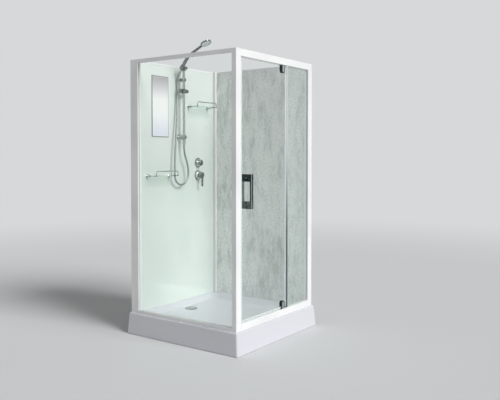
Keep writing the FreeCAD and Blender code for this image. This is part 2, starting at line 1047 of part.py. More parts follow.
def make_trims():
    """The trims along the wall panels' tops and the caps on the posts."""
    wall, height = cell.trim_wall, cell.trim_height
    width = cell.panel + 2 * wall
    channel = [
        (0, 0),
        (wall, 0),
        (wall, height - wall),
        (width - wall, height - wall),
        (width - wall, 0),
        (width, 0),
        (width, height, wall),
        (0, height, wall),
    ]
    base = frame_top - height
    rear_end = side_face - cell.corner_leg_x
    side_end = rear_face - cell.corner_leg_y
    rear = Piece("rear_trim", 0, rear_face - wall, base, node=False)
    rear.pad("YZ", post_side_end, rear_end, channel)
    side = Piece("side_trim", side_face - wall, 0, base, node=False)
    side.pad("XZ", post_side_end, side_end, channel)
    group("panel_top_trims", [rear, side])

    rounding = cell.profile_round
    depth = cell.frame_depth
    caps = Piece("post_caps")
    corner = rectangle(-face, post_front_end, -face, post_side_end, rounding)
    left = rectangle(-face, post_side_end, left_post_y, half_tray, rounding)
    right = rectangle(right_post_x, half_tray, -face, depth - face, rounding)
    caps.pad("XY", post_top, frame_top, corner, left, right)


def make_glazing():
    """The fixed glass, its gaskets and edge profile, and the two wall panels."""
    groove, base = cell.groove_depth, cell.gasket_base
    glass = cell.glass
    low, high = glass_plane - glass / 2, glass_plane + glass / 2
    gasket_low, gasket_high = glass_plane - groove_width / 2, glass_plane + groove_width / 2

    bottom = deck + cell.left_bottom_rail
    top = frame_top - cell.left_top_rail

    def left_pane(spread):
        return rectangle(
            post_side_end - spread, left_post_y + spread, bottom - spread, top + spread
        )

    pane = left_pane(groove - base)
    Piece("left_glass").pad("YZ", low, high, pane)
    left_gasket = Piece("left_gasket", node=False)
    left_gasket.pad("YZ", gasket_low, gasket_high, left_pane(groove), left_pane(0))
    left_gasket.cut("YZ", low, high, pane)

    edge = cell.edge_profile_x
    bite = cell.edge_profile_bite
    start = edge + cell.edge_profile_width - bite
    profile_depth = cell.edge_profile_depth
    slot_low = profile_depth / 2 - glass / 2
    slot_high = profile_depth / 2 + glass / 2
    width = cell.edge_profile_width
    rounding = cell.profile_round
    profile = Piece("fixed_edge_profile", edge, glass_plane - profile_depth / 2)
    profile.pad(
        "XY",
        sill,
        lintel,
        [
            (0, 0, rounding),
            (width, 0),
            (width, slot_low),
            (width - bite, slot_low),
            (width - bite, slot_high),
            (width, slot_high),
            (width, profile_depth),
            (0, profile_depth, rounding),
        ],
    )

    def fixed_pane(spread):
        return rectangle(start, right_post_x + spread, sill - spread, lintel + spread)

    pane = fixed_pane(groove - base)
    Piece("fixed_glass").pad("XZ", low, high, pane)
    fixed_gasket = Piece("fixed_gasket", node=False)
    right = right_post_x + groove
    fixed_gasket.pad(
        "XZ",
        gasket_low,
        gasket_high,
        [
            (start, sill - groove),
            (right, sill - groove),
            (right, lintel + groove),
            (start, lintel + groove),
            (start, lintel),
            (right_post_x, lintel),
            (right_post_x, sill),
            (start, sill),
        ],
    )
    fixed_gasket.cut("XZ", low, high, pane)
    group("glazing_gaskets", [left_gasket, fixed_gasket])

    panel_high = post_top
    slack = cell.slip
    rear_left = post_side_end - cell.panel_bite + slack
    rear_right = side_face - cell.corner_leg_x + cell.corner_bite - slack
    rear = Piece("rear_panel")
    rear.pad(
        "XZ",
        rear_face,
        rear_face + cell.panel,
        rectangle(rear_left, rear_right, deck, panel_high),
        Disc(mixer_x, mixer_z, cell.mixer_sleeve + 2 * cell.hole_clearance),
        Disc(mixer_x, diverter_z, cell.diverter_sleeve + 2 * cell.hole_clearance),
        Disc(riser_x, outlet_z, cell.outlet_tail + 2 * cell.hole_clearance),
    )
    side_front = post_side_end - cell.panel_bite + slack
    side_back = rear_face - cell.corner_leg_y + cell.corner_bite - slack
    Piece("right_panel").pad(
        "YZ",
        side_face,
        side_face + cell.panel,
        rectangle(side_front, side_back, deck, panel_high),
    )


def make_door_seals():
    """The strips on the corner post and on the door glass's edges."""
    wall, leg = cell.seal_wall, cell.seal_leg
    half_seal = cell.glass / 2 + wall
    half_glass = cell.glass / 2
    strike_start = post_front_end - cell.strike_depth
    strike_end = post_front_end + cell.strike_proud
    strike = Piece("strike_seal", 0, glass_plane)
    strike.pad(
        "XY",
        sill,
        lintel,
        rectangle(strike_start, strike_end, -groove_width / 2, groove_width / 2),
    )

    half_magnet = cell.magnet / 2
    edge = door_free_edge
    magnet = Piece("magnet_seal", edge, glass_plane)
    magnet.pad(
        "XY",
        door_bottom,
        door_top,
        [
            (-wall - cell.magnet, -half_magnet),
            (-wall, -half_magnet),
            (-wall, -half_seal),
            (leg, -half_seal),
            (leg, -half_glass),
            (0, -half_glass),
            (0, half_glass),
            (leg, half_glass),
            (leg, half_seal),
            (-wall, half_seal),
            (-wall, half_magnet),
            (-wall - cell.magnet, half_magnet),
        ],
    )

    hinge = Piece("hinge_seal", door_hinge_edge, glass_plane)
    clip = [
        (wall, -half_seal),
        (wall, half_seal),
        (-leg, half_seal),
        (-leg, half_glass),
        (0, half_glass),
        (0, -half_glass),
        (-leg, -half_glass),
        (-leg, -half_seal),
    ]
    hinge.pad("XY", door_bottom, door_top, clip)

    fin = wall / 2
    fin_end = cell.drip_clearance - cell.door_foot_gap
    drip = Piece("drip_seal", 0, glass_plane, door_bottom)
    drip.pad(
        "YZ",
        door_free_edge + leg,
        pivot_x - cell.clamp_width / 2,
        [
            (-half_seal, -wall),
            (-fin, -wall),
            (-fin, fin_end),
            (fin, fin_end),
            (fin, -wall),
            (half_seal, -wall),
            (half_seal, leg),
            (half_glass, leg),
            (half_glass, 0),
            (-half_glass, 0),
            (-half_glass, leg),
            (-half_seal, leg),
        ],
    )


def make_door():
    """The door glass with its pivot clamps and handles."""
    half_glass = cell.glass / 2
    screw_drop = cell.clamp_screw_drop
    stud_rise = cell.handle_height / 2 - cell.handle_leg / 2
    screw_hole = cell.clamp_screw + 2 * cell.hole_clearance
    door = Piece("door_glass", 0, glass_plane)
    door.pad(
        "XZ",
        -half_glass,
        half_glass,
        rectangle(door_free_edge, door_hinge_edge, door_bottom, door_top),
        Disc(pivot_x, door_top - screw_drop, screw_hole),
        Disc(pivot_x, door_bottom + screw_drop, screw_hole),
        Disc(handle_x, handle_z - stud_rise, cell.glass_hole),
        Disc(handle_x, handle_z + stud_rise, cell.glass_hole),
    )

    screws = []
    ends = (
        ("upper", door_top, 1, lintel - door_top),
        ("lower", door_bottom, -1, door_bottom - sill),
    )
    for name, level, sign, rail_gap in ends:
        clamp = Piece(f"{name}_pivot_clamp", pivot_x, glass_plane, level)
        half_width = cell.clamp_width / 2
        reach = half_glass + cell.clamp_plate
        bridge = cell.clamp_bridge
        rounding = half_width - cell.profile_round
        tail = -sign * cell.clamp_height
        head = sign * bridge
        plate = [(half_width, head), (-half_width, head)]
        plate += [(-half_width, tail, rounding), (half_width, tail, rounding)]
        clamp.pad("XZ", -reach, reach, plate)
        past = half_width + bridge
        mouth = rectangle(-past, past, tail - sign * bridge, 0)
        clamp.cut("XZ", -half_glass, half_glass, mouth)
        pin_end = rail_gap + cell.groove_depth - cell.pivot_pin_gap
        pin = Disc(0, 0, cell.pivot_pin)
        if sign > 0:
            clamp.pad("XY", bridge, pin_end, pin)
        else:
            clamp.pad("XY", -pin_end, -bridge, pin)
        screw_z = -sign * screw_drop
        tip = -half_glass - cell.clamp_plate / 2
        hole = cell.clamp_screw + 2 * cell.running_gap
        clamp.cut("XZ", tip, reach, Disc(0, screw_z, hole))
        screw = Piece("clamp_screw", pivot_x, glass_plane, level + screw_z, node=False)
        radius, dome = cell.clamp_screw_head / 2, cell.clamp_screw_dome
        shank = cell.clamp_screw / 2
        screw.turn(
            "XY",
            [
                (0, tip + cell.rest_gap),
                (shank, tip + cell.rest_gap),
                (shank, reach),
                (radius, reach),
                (radius, reach + dome / 2),
                (shank, reach + dome),
                (0, reach + dome),
            ],
        )
        screws.append(screw)
    group("clamp_screws", screws)

    bushes = []
    for level, sign in ((lintel, 1), (sill, -1)):
        bush = Piece("pivot_bush", pivot_x, glass_plane, level, node=False)
        half_length, half_width = cell.bush_length / 2, groove_width / 2
        block = rectangle(-half_length, half_length, -half_width, half_width)
        groove = cell.groove_depth
        bore = Disc(0, 0, cell.pivot_pin + 2 * cell.running_gap)
        if sign > 0:
            bush.pad("XY", 0, groove, block)
            bush.cut("XY", -groove, 2 * groove, bore)
        else:
            collar = cell.door_foot_gap - cell.clamp_bridge - cell.rest_gap
            bush.pad("XY", -groove, 0, block)
            bush.pad("XY", 0, collar, Disc(0, 0, cell.bush_collar))
            bush.cut("XY", -2 * groove, groove, bore)
        bushes.append(bush)
    group("pivot_bushes", bushes)

    half_width = cell.handle_width / 2
    end = cell.handle_height / 2
    leg_end = end - cell.handle_leg
    washer = cell.washer_thickness
    rounding = cell.handle_round

    def grip_outline(sign):
        foot = sign * (half_glass + washer)
        outer = sign * (half_glass + washer + cell.handle_depth)
        inner = outer - sign * cell.handle_grip
        return [
            (foot, -end),
            (outer, -end, rounding),
            (outer, end, rounding),
            (foot, end),
            (foot, leg_end),
            (inner, leg_end, rounding),
            (inner, -leg_end, rounding),
            (foot, -leg_end),
        ]

    studs = [Disc(0, -stud_rise, cell.handle_stud), Disc(0, stud_rise, cell.handle_stud)]
    stud_hole = cell.handle_stud + 2 * cell.running_gap
    holes = [Disc(0, -stud_rise, stud_hole), Disc(0, stud_rise, stud_hole)]
    foot = half_glass + washer
    place = (handle_x, glass_plane, handle_z)

    def is_long_edge(edge):
        side = abs(abs(edge.CenterOfMass.x) - half_width.value) < 0.01
        flat = edge.BoundBox.XLength < 0.01
        off_glass = edge.BoundBox.YLength > 0.01 or abs(edge.CenterOfMass.y) > foot.value + 1
        return side and flat and off_glass

    outer = Piece("outer_handle", *place)
    outer.pad("YZ", -half_width, half_width, grip_outline(-1))
    outer.dress("Fillet", "Radius", cell.handle_edge_round, is_long_edge)
    bite = cell.handle_stud_bite
    outer.pad("XZ", -foot, foot + bite - cell.rest_gap, *studs)
    inner = Piece("inner_handle", *place)
    inner.pad("YZ", -half_width, half_width, grip_outline(1))
    inner.dress("Fillet", "Radius", cell.handle_edge_round, is_long_edge)
    inner.cut("XZ", foot, foot + bite, *holes)

    washers = []
    washer_hole = cell.handle_stud + 2 * cell.slip
    for low, high in ((-foot, -half_glass), (half_glass, foot)):
        for rise in (-stud_rise, stud_rise):
            ring = Piece("handle_washer", *place, node=False)
            rim = Disc(0, rise, cell.handle_washer)
            washers.append(ring.pad("XZ", low, high, rim, Disc(0, rise, washer_hole)))
    group("handle_washers", washers)


def make_mirror():
    """The bevelled mirror on the rear panel."""
    mirror = Piece("mirror", mirror_x, rear_face, mirror_z)
    half_width, half_height = cell.mirror_width / 2, cell.mirror_height / 2
    thickness = cell.mirror_thickness
    outline = rectangle(-half_width, half_width, -half_height, half_height)
    mirror.pad("XZ", -thickness, 0, outline)

    def is_front(edge):
        return edge.BoundBox.YMax < 0.01 - thickness.value

    mirror.dress("Chamfer", "Size", cell.mirror_bevel, is_front)


def make_shelves():
    """Two glass shelves, each with two wall brackets and a bent guard rod along its front."""
    half_width = cell.shelf_width / 2
    back = -cell.shelf_wall_gap
    front = back - cell.shelf_depth
    thickness = cell.shelf_glass
    rounding = cell.shelf_front_round
    bracket_x = half_width - cell.shelf_bracket_inset
    glasses, brackets, guards = [], [], []
    places = (
        ("lower", lower_shelf_x, lower_shelf_z),
        ("upper", upper_shelf_x, upper_shelf_z),
    )
    for name, x, z in places:
        glass = Piece(f"{name}_shelf_glass", x, rear_face, z, node=False)
        outline = [
            (-half_width, front, rounding),
            (half_width, front, rounding),
            (half_width, back),
            (-half_width, back),
        ]
        glasses.append(glass.pad("XY", 0, thickness, outline))
        middle = thickness / 2
        for side in (-1, 1):
            bracket = Piece("shelf_bracket", x + side * bracket_x, rear_face, z, node=False)
            reach = cell.shelf_bracket_reach
            rose = cell.shelf_rose_thickness
            bracket.pad("XZ", -rose, 0, Disc(0, middle, cell.shelf_rose))
            bracket.pad("XZ", -reach, -rose, Disc(0, middle, cell.shelf_bracket))
            past = cell.shelf_bracket
            bracket.cut("XZ", -reach, back, rectangle(-past, past, 0, thickness))
            brackets.append(bracket)
        guard = Piece("shelf_guard", x, rear_face, z + thickness, node=False)
        guard_y = front + cell.guard_setback
        rise = cell.guard_height - cell.guard_rod / 2
        path_corners = [
            (-bracket_x, 0),
            (-bracket_x, rise, cell.guard_bend),
            (bracket_x, rise, cell.guard_bend),
            (bracket_x, 0),
        ]
        path = guard.sketch("XZ", -guard_y, [path_corners], closed=False)
        section = guard.sketch("XY", 0, [Disc(-bracket_x, guard_y, cell.guard_rod)])
        guard.pipe(path, section)
        feet = [Disc(side * bracket_x, guard_y, cell.guard_foot) for side in (-1, 1)]
        guards.append(guard.pad("XY", 0, cell.guard_foot_height, *feet))
    group("shelf_glasses", glasses)
    group("shelf_brackets", brackets)
    group("shelf_guards", guards)


def make_riser():
    """The riser rail with its wall bracket, the hose outlet under it and the holder on its top."""
    x, reach = riser_x, cell.riser_reach
    bore = cell.riser + 2 * cell.running_gap
    seat = outlet_z + cell.outlet / 2 - cell.outlet_socket
    rail = Piece("riser_rail", x, riser_y)
    rail_bore = cell.riser - 2 * cell.riser_wall
    rail_discs = (Disc(0, 0, cell.riser), Disc(0, 0, rail_bore))
    rail.pad("XY", seat + cell.rest_gap, riser_top, *rail_discs)

    nose = reach + cell.bracket_nose
    bracket = Piece("rail_wall_bracket", x, rear_face, bracket_z)
    bracket.turn(
        "XY",
        [
            (0, 0),
            (cell.rose / 2, 0),
            (cell.rose / 2, -cell.rose_thickness / 2),
            (cell.bracket / 2, -cell.rose_thickness),
            (cell.bracket / 2, -nose + cell.profile_round),
            (cell.bracket / 2 - cell.profile_round, -nose),
            (0, -nose),
        ],
    )
    bracket.cut("XY", -cell.bracket, cell.bracket, Disc(0, -reach, bore))

    nose = reach + cell.outlet / 2
    outlet = Piece("hose_outlet", x, rear_face, outlet_z)
    tail_end = pipe_depth + cell.outlet_tail / 2
    outlet.turn(
        "XY",
        [
            (0, tail_end),
            (cell.outlet_tail / 2, tail_end),
            (cell.outlet_tail / 2, 0),
            (cell.outlet_rose / 2, 0),
            (cell.outlet_rose / 2, -cell.rose_thickness / 2),
            (cell.outlet / 2, -cell.rose_thickness),
            (cell.outlet / 2, -nose + cell.profile_round),
            (cell.outlet / 2 - cell.profile_round, -nose),
            (0, -nose),
        ],
    )
    top = cell.outlet / 2
    outlet.cut("XY", top - cell.outlet_socket, 2 * top, Disc(0, -reach, bore))
    outlet.pad("XY", -cell.nipple_length, 0, Disc(0, -reach, cell.nipple))
    pipe_top = cell.pipe_bite - cell.outlet_tail / 2
    socket = cell.pipe + 2 * cell.running_gap
    outlet.cut("XY", -cell.outlet_tail, pipe_top, Disc(0, pipe_depth, socket))

    nut = Piece("hose_bottom_nut", x, riser_y, nipple_end)
    nut_end = -cell.bottom_nut_length
    nut_bore = cell.nipple / 2 + cell.running_gap
    nut.turn(
        "XZ",
        [
            (0, nut_end),
            (cell.nut_bottom / 2, nut_end),
            (cell.nut_top / 2, -cell.rest_gap),
            (cell.nut_top / 2, cell.nut_bite),
            (nut_bore, cell.nut_bite),
            (nut_bore, -cell.rest_gap),
            (0, -cell.rest_gap),
        ],
    )

    base_low = riser_top - cell.holder_height + cell.profile_round
    holder = Piece("holder_base", x, riser_y, base_low)
    height = cell.holder_height
    blind = riser_top + cell.rest_gap - base_low
    boss_z = height - cell.holder_boss / 2
    forward = -cell.holder_forward
    holder.pad("XY", 0, height, Disc(0, 0, cell.holder))
    boss_end = -cell.holder_boss_reach
    holder.pad("YZ", boss_end, cell.holder / 3, Disc(forward, boss_z, cell.holder_boss))
    holder.cut("XY", 0, blind, Disc(0, 0, bore))
    pin_end = boss_end - cell.holder_pin_length
    holder.pad("YZ", pin_end, boss_end, Disc(forward, boss_z, cell.holder_pin))
    return base_low + boss_z


def cup_ring(piece, x):
    """Adds an open ring with a tapered bore, centred at x, to a holder."""
    half = cell.cup_height / 2
    piece.pad("XY", -half, half, Disc(x, 0, cell.cup))


def bore_cup(piece, x):
    """Bores the ring's taper and cuts the slot that lets the hose in."""
    half = cell.cup_height / 2
    sections = [
        (half, Disc(x, 0, cell.cup_bore_top)),
        (-half, Disc(x, 0, cell.cup_bore_bottom)),
    ]
    piece.loft("XY", sections, "SubtractiveLoft")
    slot = cell.cup_slot / 2
    piece.cut("XY", -half, half, rectangle(x - slot, x + slot, -cell.cup, 0))


def make_slider():
    """The clamp that slides on the riser rail, with its open cup and its knob."""
    x = riser_x
    half = cell.slider_height / 2
    slider = Piece("slider_clamp", x, riser_y, slider_z)
    slider.pad("XY", -half, half, Disc(0, 0, cell.slider))
    slider.pad("YZ", 0, cell.slider_boss_reach, Disc(0, 0, cell.slider_boss))
    ring_x = -cell.slider_cup_reach
    half_cup, half_arm = cell.cup_height / 2, cell.slider_arm / 2
    slider.pad("XY", -half_cup, half_cup, rectangle(ring_x, 0, -half_arm, half_arm))
    cup_ring(slider, ring_x)
    bore_cup(slider, ring_x)
    bore = cell.riser + 2 * cell.running_gap
    slider.cut("XY", -half, half, Disc(0, 0, bore))
    stem_bore = cell.slider_knob_stem + 2 * cell.running_gap
    stem_start = bore / 2 + cell.profile_wall
    slider.cut("YZ", stem_start, cell.slider_boss_reach, Disc(0, 0, stem_bore))

    knob = Piece("slider_knob", x, riser_y, slider_z)
    start = cell.slider_boss_reach + cell.rest_gap
    end = start + cell.slider_knob_length
    radius, stem = cell.slider_knob / 2, cell.slider_knob_stem / 2
    crown = cell.profile_round
    knob.turn(
        "XY",
        [
            (stem_start + cell.rest_gap, 0),
            (end, 0),
            (end, radius - crown),
            (end - crown, radius),
            (start + crown, radius),
            (start, radius - crown),
            (start, stem),
            (stem_start + cell.rest_gap, stem),
        ],
        "H_Axis",
    )
    flutes = []
    for i in range(6):
        across = round(1.1 * math.cos(math.pi * i / 3), 6)
        up = round(1.1 * math.sin(math.pi * i / 3), 6) + 0.0
        flutes.append(Disc(radius * across, radius * up, cell.slider_knob_flute))
    knob.cut("YZ", start, end, *flutes)


def make_handset(tilt_z):
    """The tilting cup, the hand shower in it, its spray face and the hose's top nut."""
    x = riser_x - cell.cup_reach
    y = riser_y - cell.holder_forward
    lean = cell.handset_lean_angle
    cradle = Piece("holder_cradle", x, y, tilt_z).lean(lean)
    cup_ring(cradle, 0)
    hub_end = cell.cup_reach - cell.holder_boss_reach - cell.rest_gap
    cradle.pad("YZ", 0, hub_end, Disc(0, 0, cell.cup_hub))
    bore_cup(cradle, 0)
    pin_bore = cell.holder_pin + 2 * cell.running_gap
    pin_start = hub_end - cell.holder_pin_length
    cradle.cut("YZ", pin_start, hub_end, Disc(0, 0, pin_bore))

    handset = Piece("handset", x, y, tilt_z).lean(lean)
    end = -cell.handset_end
    straight = cell.handset_straight
    radius = cell.handset_bend_radius
    bend = cell.handset_bend_angle
    half = cell.cup_height / 2
    cone_top = cell.cup_bore_top - 2 * cell.slip
    cone_bottom = cell.cup_bore_bottom - 2 * cell.slip
    taper = (cone_top - cone_bottom) / cell.cup_height
    end_width = cone_bottom - taper * (cell.handset_end - half)
    start_width = cone_top + taper * (straight - half)
    handset.loft("XY", [(end, Disc(0, 0, end_width)), (straight, Disc(0, 0, start_width))])
    # The handle bends towards the door and then runs straight to the head.
    neck = cell.head_offset - cell.head / 2 + cell.neck_bite
    stations = [(bend * (i / 5), size_of(0)) for i in range(6)]
    stations += [(bend, neck * (i / 3)) for i in range(1, 4)]
    sections = []
    for i, (angle, along) in enumerate(stations):
        width = start_width + (cell.handset_neck - start_width) * (i / (len(stations) - 1))
        sketch = handset.sketch("XY", 0, [Disc(0, 0, width)])
        turn = FreeCAD.Rotation(FreeCAD.Vector(1, 0, 0), 1)
        sketch.AttachmentOffset = FreeCAD.Placement(FreeCAD.Vector(), turn)
        bend_y = radius * cosine(angle) - radius - along * sine(angle)
        bend_z = straight + radius * sine(angle) + along * cosine(angle)
        bind(sketch, "AttachmentOffset.Base.y", bend_y)
        bind(sketch, "AttachmentOffset.Base.z", bend_z)
        bind(sketch, "AttachmentOffset.Rotation.Angle", angle)
        sections.append(sketch)
    handle = handset.body.newObject("PartDesign::AdditiveLoft", "Handle")
    handle.Profile = sections[0]
    handle.Sections = sections[1:]

    # The head's middle lies past the bend's end, along the neck's direction.
    offset = cell.head_offset
    head_y = radius * cosine(bend) - radius - offset * sine(bend)
    head_z = straight + radius * sine(bend) + offset * cosine(bend)
    rim, dome = cell.head / 2, cell.head_dome
    spray = rim - cell.head_lip
    face_level = -cell.head_rim
    recess = face_level + cell.spray_recess
    shell = [
        (0, recess),
        (spray, recess),
        (spray, face_level),
        (rim, face_level),
        (rim, 0),
        (cell.head_back / 2, dome),
        (0, dome),
    ]
    plate = [
        (0, recess),
        (0, face_level - cell.spray_proud),
        (spray - cell.head_lip, face_level - cell.spray_proud),
        (spray - cell.slip, face_level),
        (spray - cell.slip, recess),
    ]
    face_piece = Piece("spray_face", x, y, tilt_z).lean(lean)
    # In the head's own sketch, across is X and up is away from the spray face.
    for piece, outline in ((handset, shell), (face_piece, plate)):
        sketch = piece.sketch("XZ", 0, [outline])
        turn = FreeCAD.Rotation(FreeCAD.Vector(1, 0, 0), 1)
        sketch.AttachmentOffset = FreeCAD.Placement(FreeCAD.Vector(), turn)
        bind(sketch, "AttachmentOffset.Base.y", head_z)
        bind(sketch, "AttachmentOffset.Base.z", -head_y)
        bind(sketch, "AttachmentOffset.Rotation.Angle", bend - 90)
        feature = piece.body.newObject("PartDesign::Revolution", "Head")
        feature.Profile = sketch
        feature.ReferenceAxis = (sketch, ["V_Axis"])
        feature.Angle = 360

    nut = Piece("hose_top_nut", x, y, tilt_z).lean(lean)
    nut_end = end - cell.top_nut_length
    nut.loft(
        "XY",
        [
            (end, Disc(0, 0, cell.top_nut_wide)),
            (nut_end, Disc(0, 0, cell.nut_bottom)),
        ],
    )
    nut_centre = FreeCAD.Vector(x.value, y.value, tilt_z.value)
    down = FreeCAD.Rotation(FreeCAD.Vector(1, 0, 0), lean.value).multVec(FreeCAD.Vector(0, 0, 1))
    return nut_centre + down * nut_end.value, down * -1


def rounded_path(points):
    """Straight runs between points, joined by tangent arcs as large as the runs allow."""
    edges = []
    radii = []
    start = points[0]
    for before, corner, after in zip(points, points[1:], points[2:]):
        back, ahead = before - corner, after - corner
        shorter = min(back.Length, ahead.Length)
        half = back.getAngle(ahead) / 2
        reach = 0.45 * shorter
        radii.append(reach * math.tan(half))
        back.normalize()
        ahead.normalize()
        first, last = corner + back * reach, corner + ahead * reach
        towards = (back + ahead).normalize()
        depth = radii[-1] / math.sin(half) - radii[-1]
        edges.append(Part.LineSegment(start, first).toShape())
        edges.append(Part.Arc(first, corner + towards * depth, last).toShape())
        start = last
    edges.append(Part.LineSegment(start, points[-1]).toShape())
    return Part.Wire(edges), radii


def make_hose(top, direction):
    """The hand shower's hose, a bored tube on one hanging route between its two nuts."""
    bottom = FreeCAD.Vector(riser_x.value, riser_y.value, bottom_nut_end.value)
    lead = 4 * cell.hose.value
    points = [top, top + direction * lead]
    for right, forward, above in HOSE_POINTS:
        x, y = riser_x.value + right, rear_face.value - forward
        points.append(FreeCAD.Vector(x, y, outlet_z.value + above))
    points += [bottom - FreeCAD.Vector(0, 0, lead), bottom]
    path, radii = rounded_path(points)
    print("hose bend radii:", ", ".join(f"{radius:.0f}" for radius in radii))
    tubes = []
    for diameter in (cell.hose.value, cell.hose_bore.value):
        ring = Part.Wire(Part.Circle(top, direction, diameter / 2).toShape())
        tubes.append(path.makePipeShell([ring], True, False))
    shape = tubes[0].cut(tubes[1])
    area = math.pi * (cell.hose.value**2 - cell.hose_bore.value**2) / 4
    print(f"hose length {path.Length:.0f} mm, volume ratio {shape.Volume / (area * path.Length):.4f}")
    hose = document.addObject("Part::Feature", "shower_hose")
    hose.Label = "shower_hose"
    hose.Shape = shape.Solids[0]
    hose.Placement = FreeCAD.Placement()
    nodes["shower_hose"] = hose


def make_valves():
    """The valve block behind the panel, its plates, the mixer and the diverter."""
    x = mixer_x
    back = cell.panel
    rise = diverter_z - mixer_z
    margin = cell.block_margin
    half_block = cell.block_width / 2
    block_back = back + cell.block_depth
    block = Piece("valve_block", x, rear_face, mixer_z)
    outline = rectangle(-half_block, half_block, -margin, rise + margin, cell.block_round)
    block.pad("XZ", back, block_back, outline)
    mixer_front = -cell.mixer_sleeve_reach
    sleeves = [Disc(0, 0, cell.mixer_sleeve), Disc(0, rise, cell.diverter_sleeve)]
    block.pad("XZ", mixer_front, back, *sleeves)
    shaft_end = mixer_front + cell.mixer_shaft_bite
    mixer_bore = Disc(0, 0, cell.mixer_shaft + 2 * cell.running_gap)
    block.cut("XZ", mixer_front, shaft_end, mixer_bore)
    stem_end = mixer_front + cell.diverter_shaft_bite
    stem_bore = Disc(0, rise, cell.diverter_shaft + 2 * cell.running_gap)
    block.cut("XZ", mixer_front, stem_end, stem_bore)
    half_inlets = cell.inlet_spacing / 2
    inlets = [Disc(side * half_inlets, -cell.inlet_drop, cell.inlet) for side in (-1, 1)]
    block.pad("XZ", block_back, cell.inlet_reach, *inlets)
    socket = cell.pipe + 2 * cell.running_gap
    bite = cell.pipe_bite
    block.cut("YZ", -half_block, bite - half_block, Disc(pipe_depth, rise, socket))

    plates = []
    for z, width, sleeve in (
        (mixer_z, cell.mixer_plate, cell.mixer_sleeve),
        (diverter_z, cell.diverter_plate, cell.diverter_sleeve),
    ):
        plate = Piece("valve_plate", x, rear_face, z, node=False)
        hole = sleeve / 2 + cell.slip
        plate.turn(
            "XY",
            [
                (hole, 0),
                (width / 2, 0),
                (width / 2, -cell.plate_edge),
                (hole + cell.plate_flat, -cell.plate_thickness),
                (hole, -cell.plate_thickness),
            ],
        )
        plates.append(plate)
    group("valve_plates", plates)

    stem = Piece("mixer_stem", x, rear_face, mixer_z)
    pivot = cell.trunnion_setback - cell.lever_head_reach
    collar_start = mixer_front - cell.rest_gap
    collar_end = pivot - cell.mixer_collar_nose
    shaft, collar = cell.mixer_shaft / 2, cell.mixer_collar / 2
    stem.turn(
        "XY",
        [
            (0, shaft_end - cell.rest_gap),
            (shaft, shaft_end - cell.rest_gap),
            (shaft, collar_start),
            (collar, collar_start),
            (collar, collar_end),
            (0, collar_end),
        ],
    )
    span = cell.trunnion_span / 2
    stem.pad("YZ", -span, span, Disc(pivot, 0, cell.trunnion))

    lever = Piece("mixer_lever", x, rear_face, mixer_z)
    front = -cell.lever_head_reach
    rear = front + cell.lever_head_length
    head, rounding = cell.lever_head / 2, cell.lever_head_round
    pocket = cell.lever_pocket / 2
    pocket_end = front + cell.lever_front_wall
    lever.turn(
        "XY",
        [
            (0, front),
            (head, front, rounding),
            (head, rear),
            (pocket, rear),
            (pocket, pocket_end),
            (0, pocket_end),
        ],
    )
    half_width = cell.lever_width / 2
    root = -(pocket + cell.slip + cell.profile_wall)
    tip = -cell.lever_length
    tip_round = half_width - cell.profile_wall / 2
    paddle = [
        (half_width, root),
        (-half_width, root),
        (-half_width, tip, tip_round),
        (half_width, tip, tip_round),
    ]
    lever.pad("XZ", front, front + cell.lever_thickness, paddle)
    pin_hole = Disc(pivot, 0, cell.trunnion + 2 * cell.running_gap)
    hole_span = span + cell.rest_gap
    lever.cut("YZ", -hole_span, hole_span, pin_hole)

    knob = Piece("diverter_knob", x, rear_face, diverter_z)
    front = -cell.diverter_reach
    disc_back = front + cell.diverter_disc
    neck, disc = cell.diverter_neck / 2, cell.diverter_knob / 2
    knob_shaft = cell.diverter_shaft / 2
    knob.turn(
        "XY",
        [
            (0, stem_end - cell.rest_gap),
            (knob_shaft, stem_end - cell.rest_gap),
            (knob_shaft, collar_start),
            (neck, collar_start),
            (neck, disc_back),
            (disc, disc_back),
            (disc, front, cell.diverter_round),
            (0, front),
        ],
    )
    half_pointer, half_length = cell.pointer_width / 2, cell.pointer_length / 2
    pointer_round = half_pointer - cell.slip
    pointer = rectangle(-half_pointer, half_pointer, -half_length, half_length, pointer_round)
    knob.pad("XZ", front - cell.pointer_height, front, pointer)

    pipe = Piece("outlet_pipe", 0, rear_face + pipe_depth)
    start = x - half_block + bite - cell.rest_gap
    pipe_top = outlet_z - cell.outlet_tail / 2 + bite - cell.rest_gap
    level = diverter_z
    corners = [(start, level), (riser_x, level, cell.pipe_bend), (riser_x, pipe_top)]
    path = pipe.sketch("XZ", 0, [corners], closed=False)
    section = pipe.sketch("YZ", start, [Disc(0, level, cell.pipe)])
    pipe.pipe(path, section)


def check_document():
    """Stops if any object failed, or any cut took nothing away."""
    for item in document.Objects:
        if "Invalid" in item.State or "Error" in item.State:
            raise RuntimeError(f"{item.Label} ({item.Name}) failed: {item.State}")
        if item.TypeId in ("PartDesign::Pocket", "PartDesign::SubtractiveLoft"):
            if item.Shape.Volume > item.BaseFeature.Shape.Volume - 0.01:
                body = item.getParentGeoFeatureGroup()
                raise RuntimeError(f"{item.Name} in {body.Label} cut nothing")
    for label, item in nodes.items():
        if item.Shape.isNull() or not item.Shape.isValid() or not item.Shape.Solids:
            raise RuntimeError(f"{label} has no valid solid")


def write_parts():
    os.makedirs("parts", exist_ok=True)
    for label, item in nodes.items():
        item.Shape.exportStep(f"parts/{label}.step")


make_tray()
make_tray_support()
make_waste()
make_posts()
make_wall_channels()
make_rails()
make_trims()
make_glazing()
make_door_seals()
make_door()
make_mirror()
make_shelves()
tilt_height = make_riser()
make_slider()
hose_top, hose_direction = make_handset(tilt_height)
make_hose(hose_top, hose_direction)
make_valves()
document.recompute()
check_document()
write_parts()
print(f"{len(nodes)} nodes written")
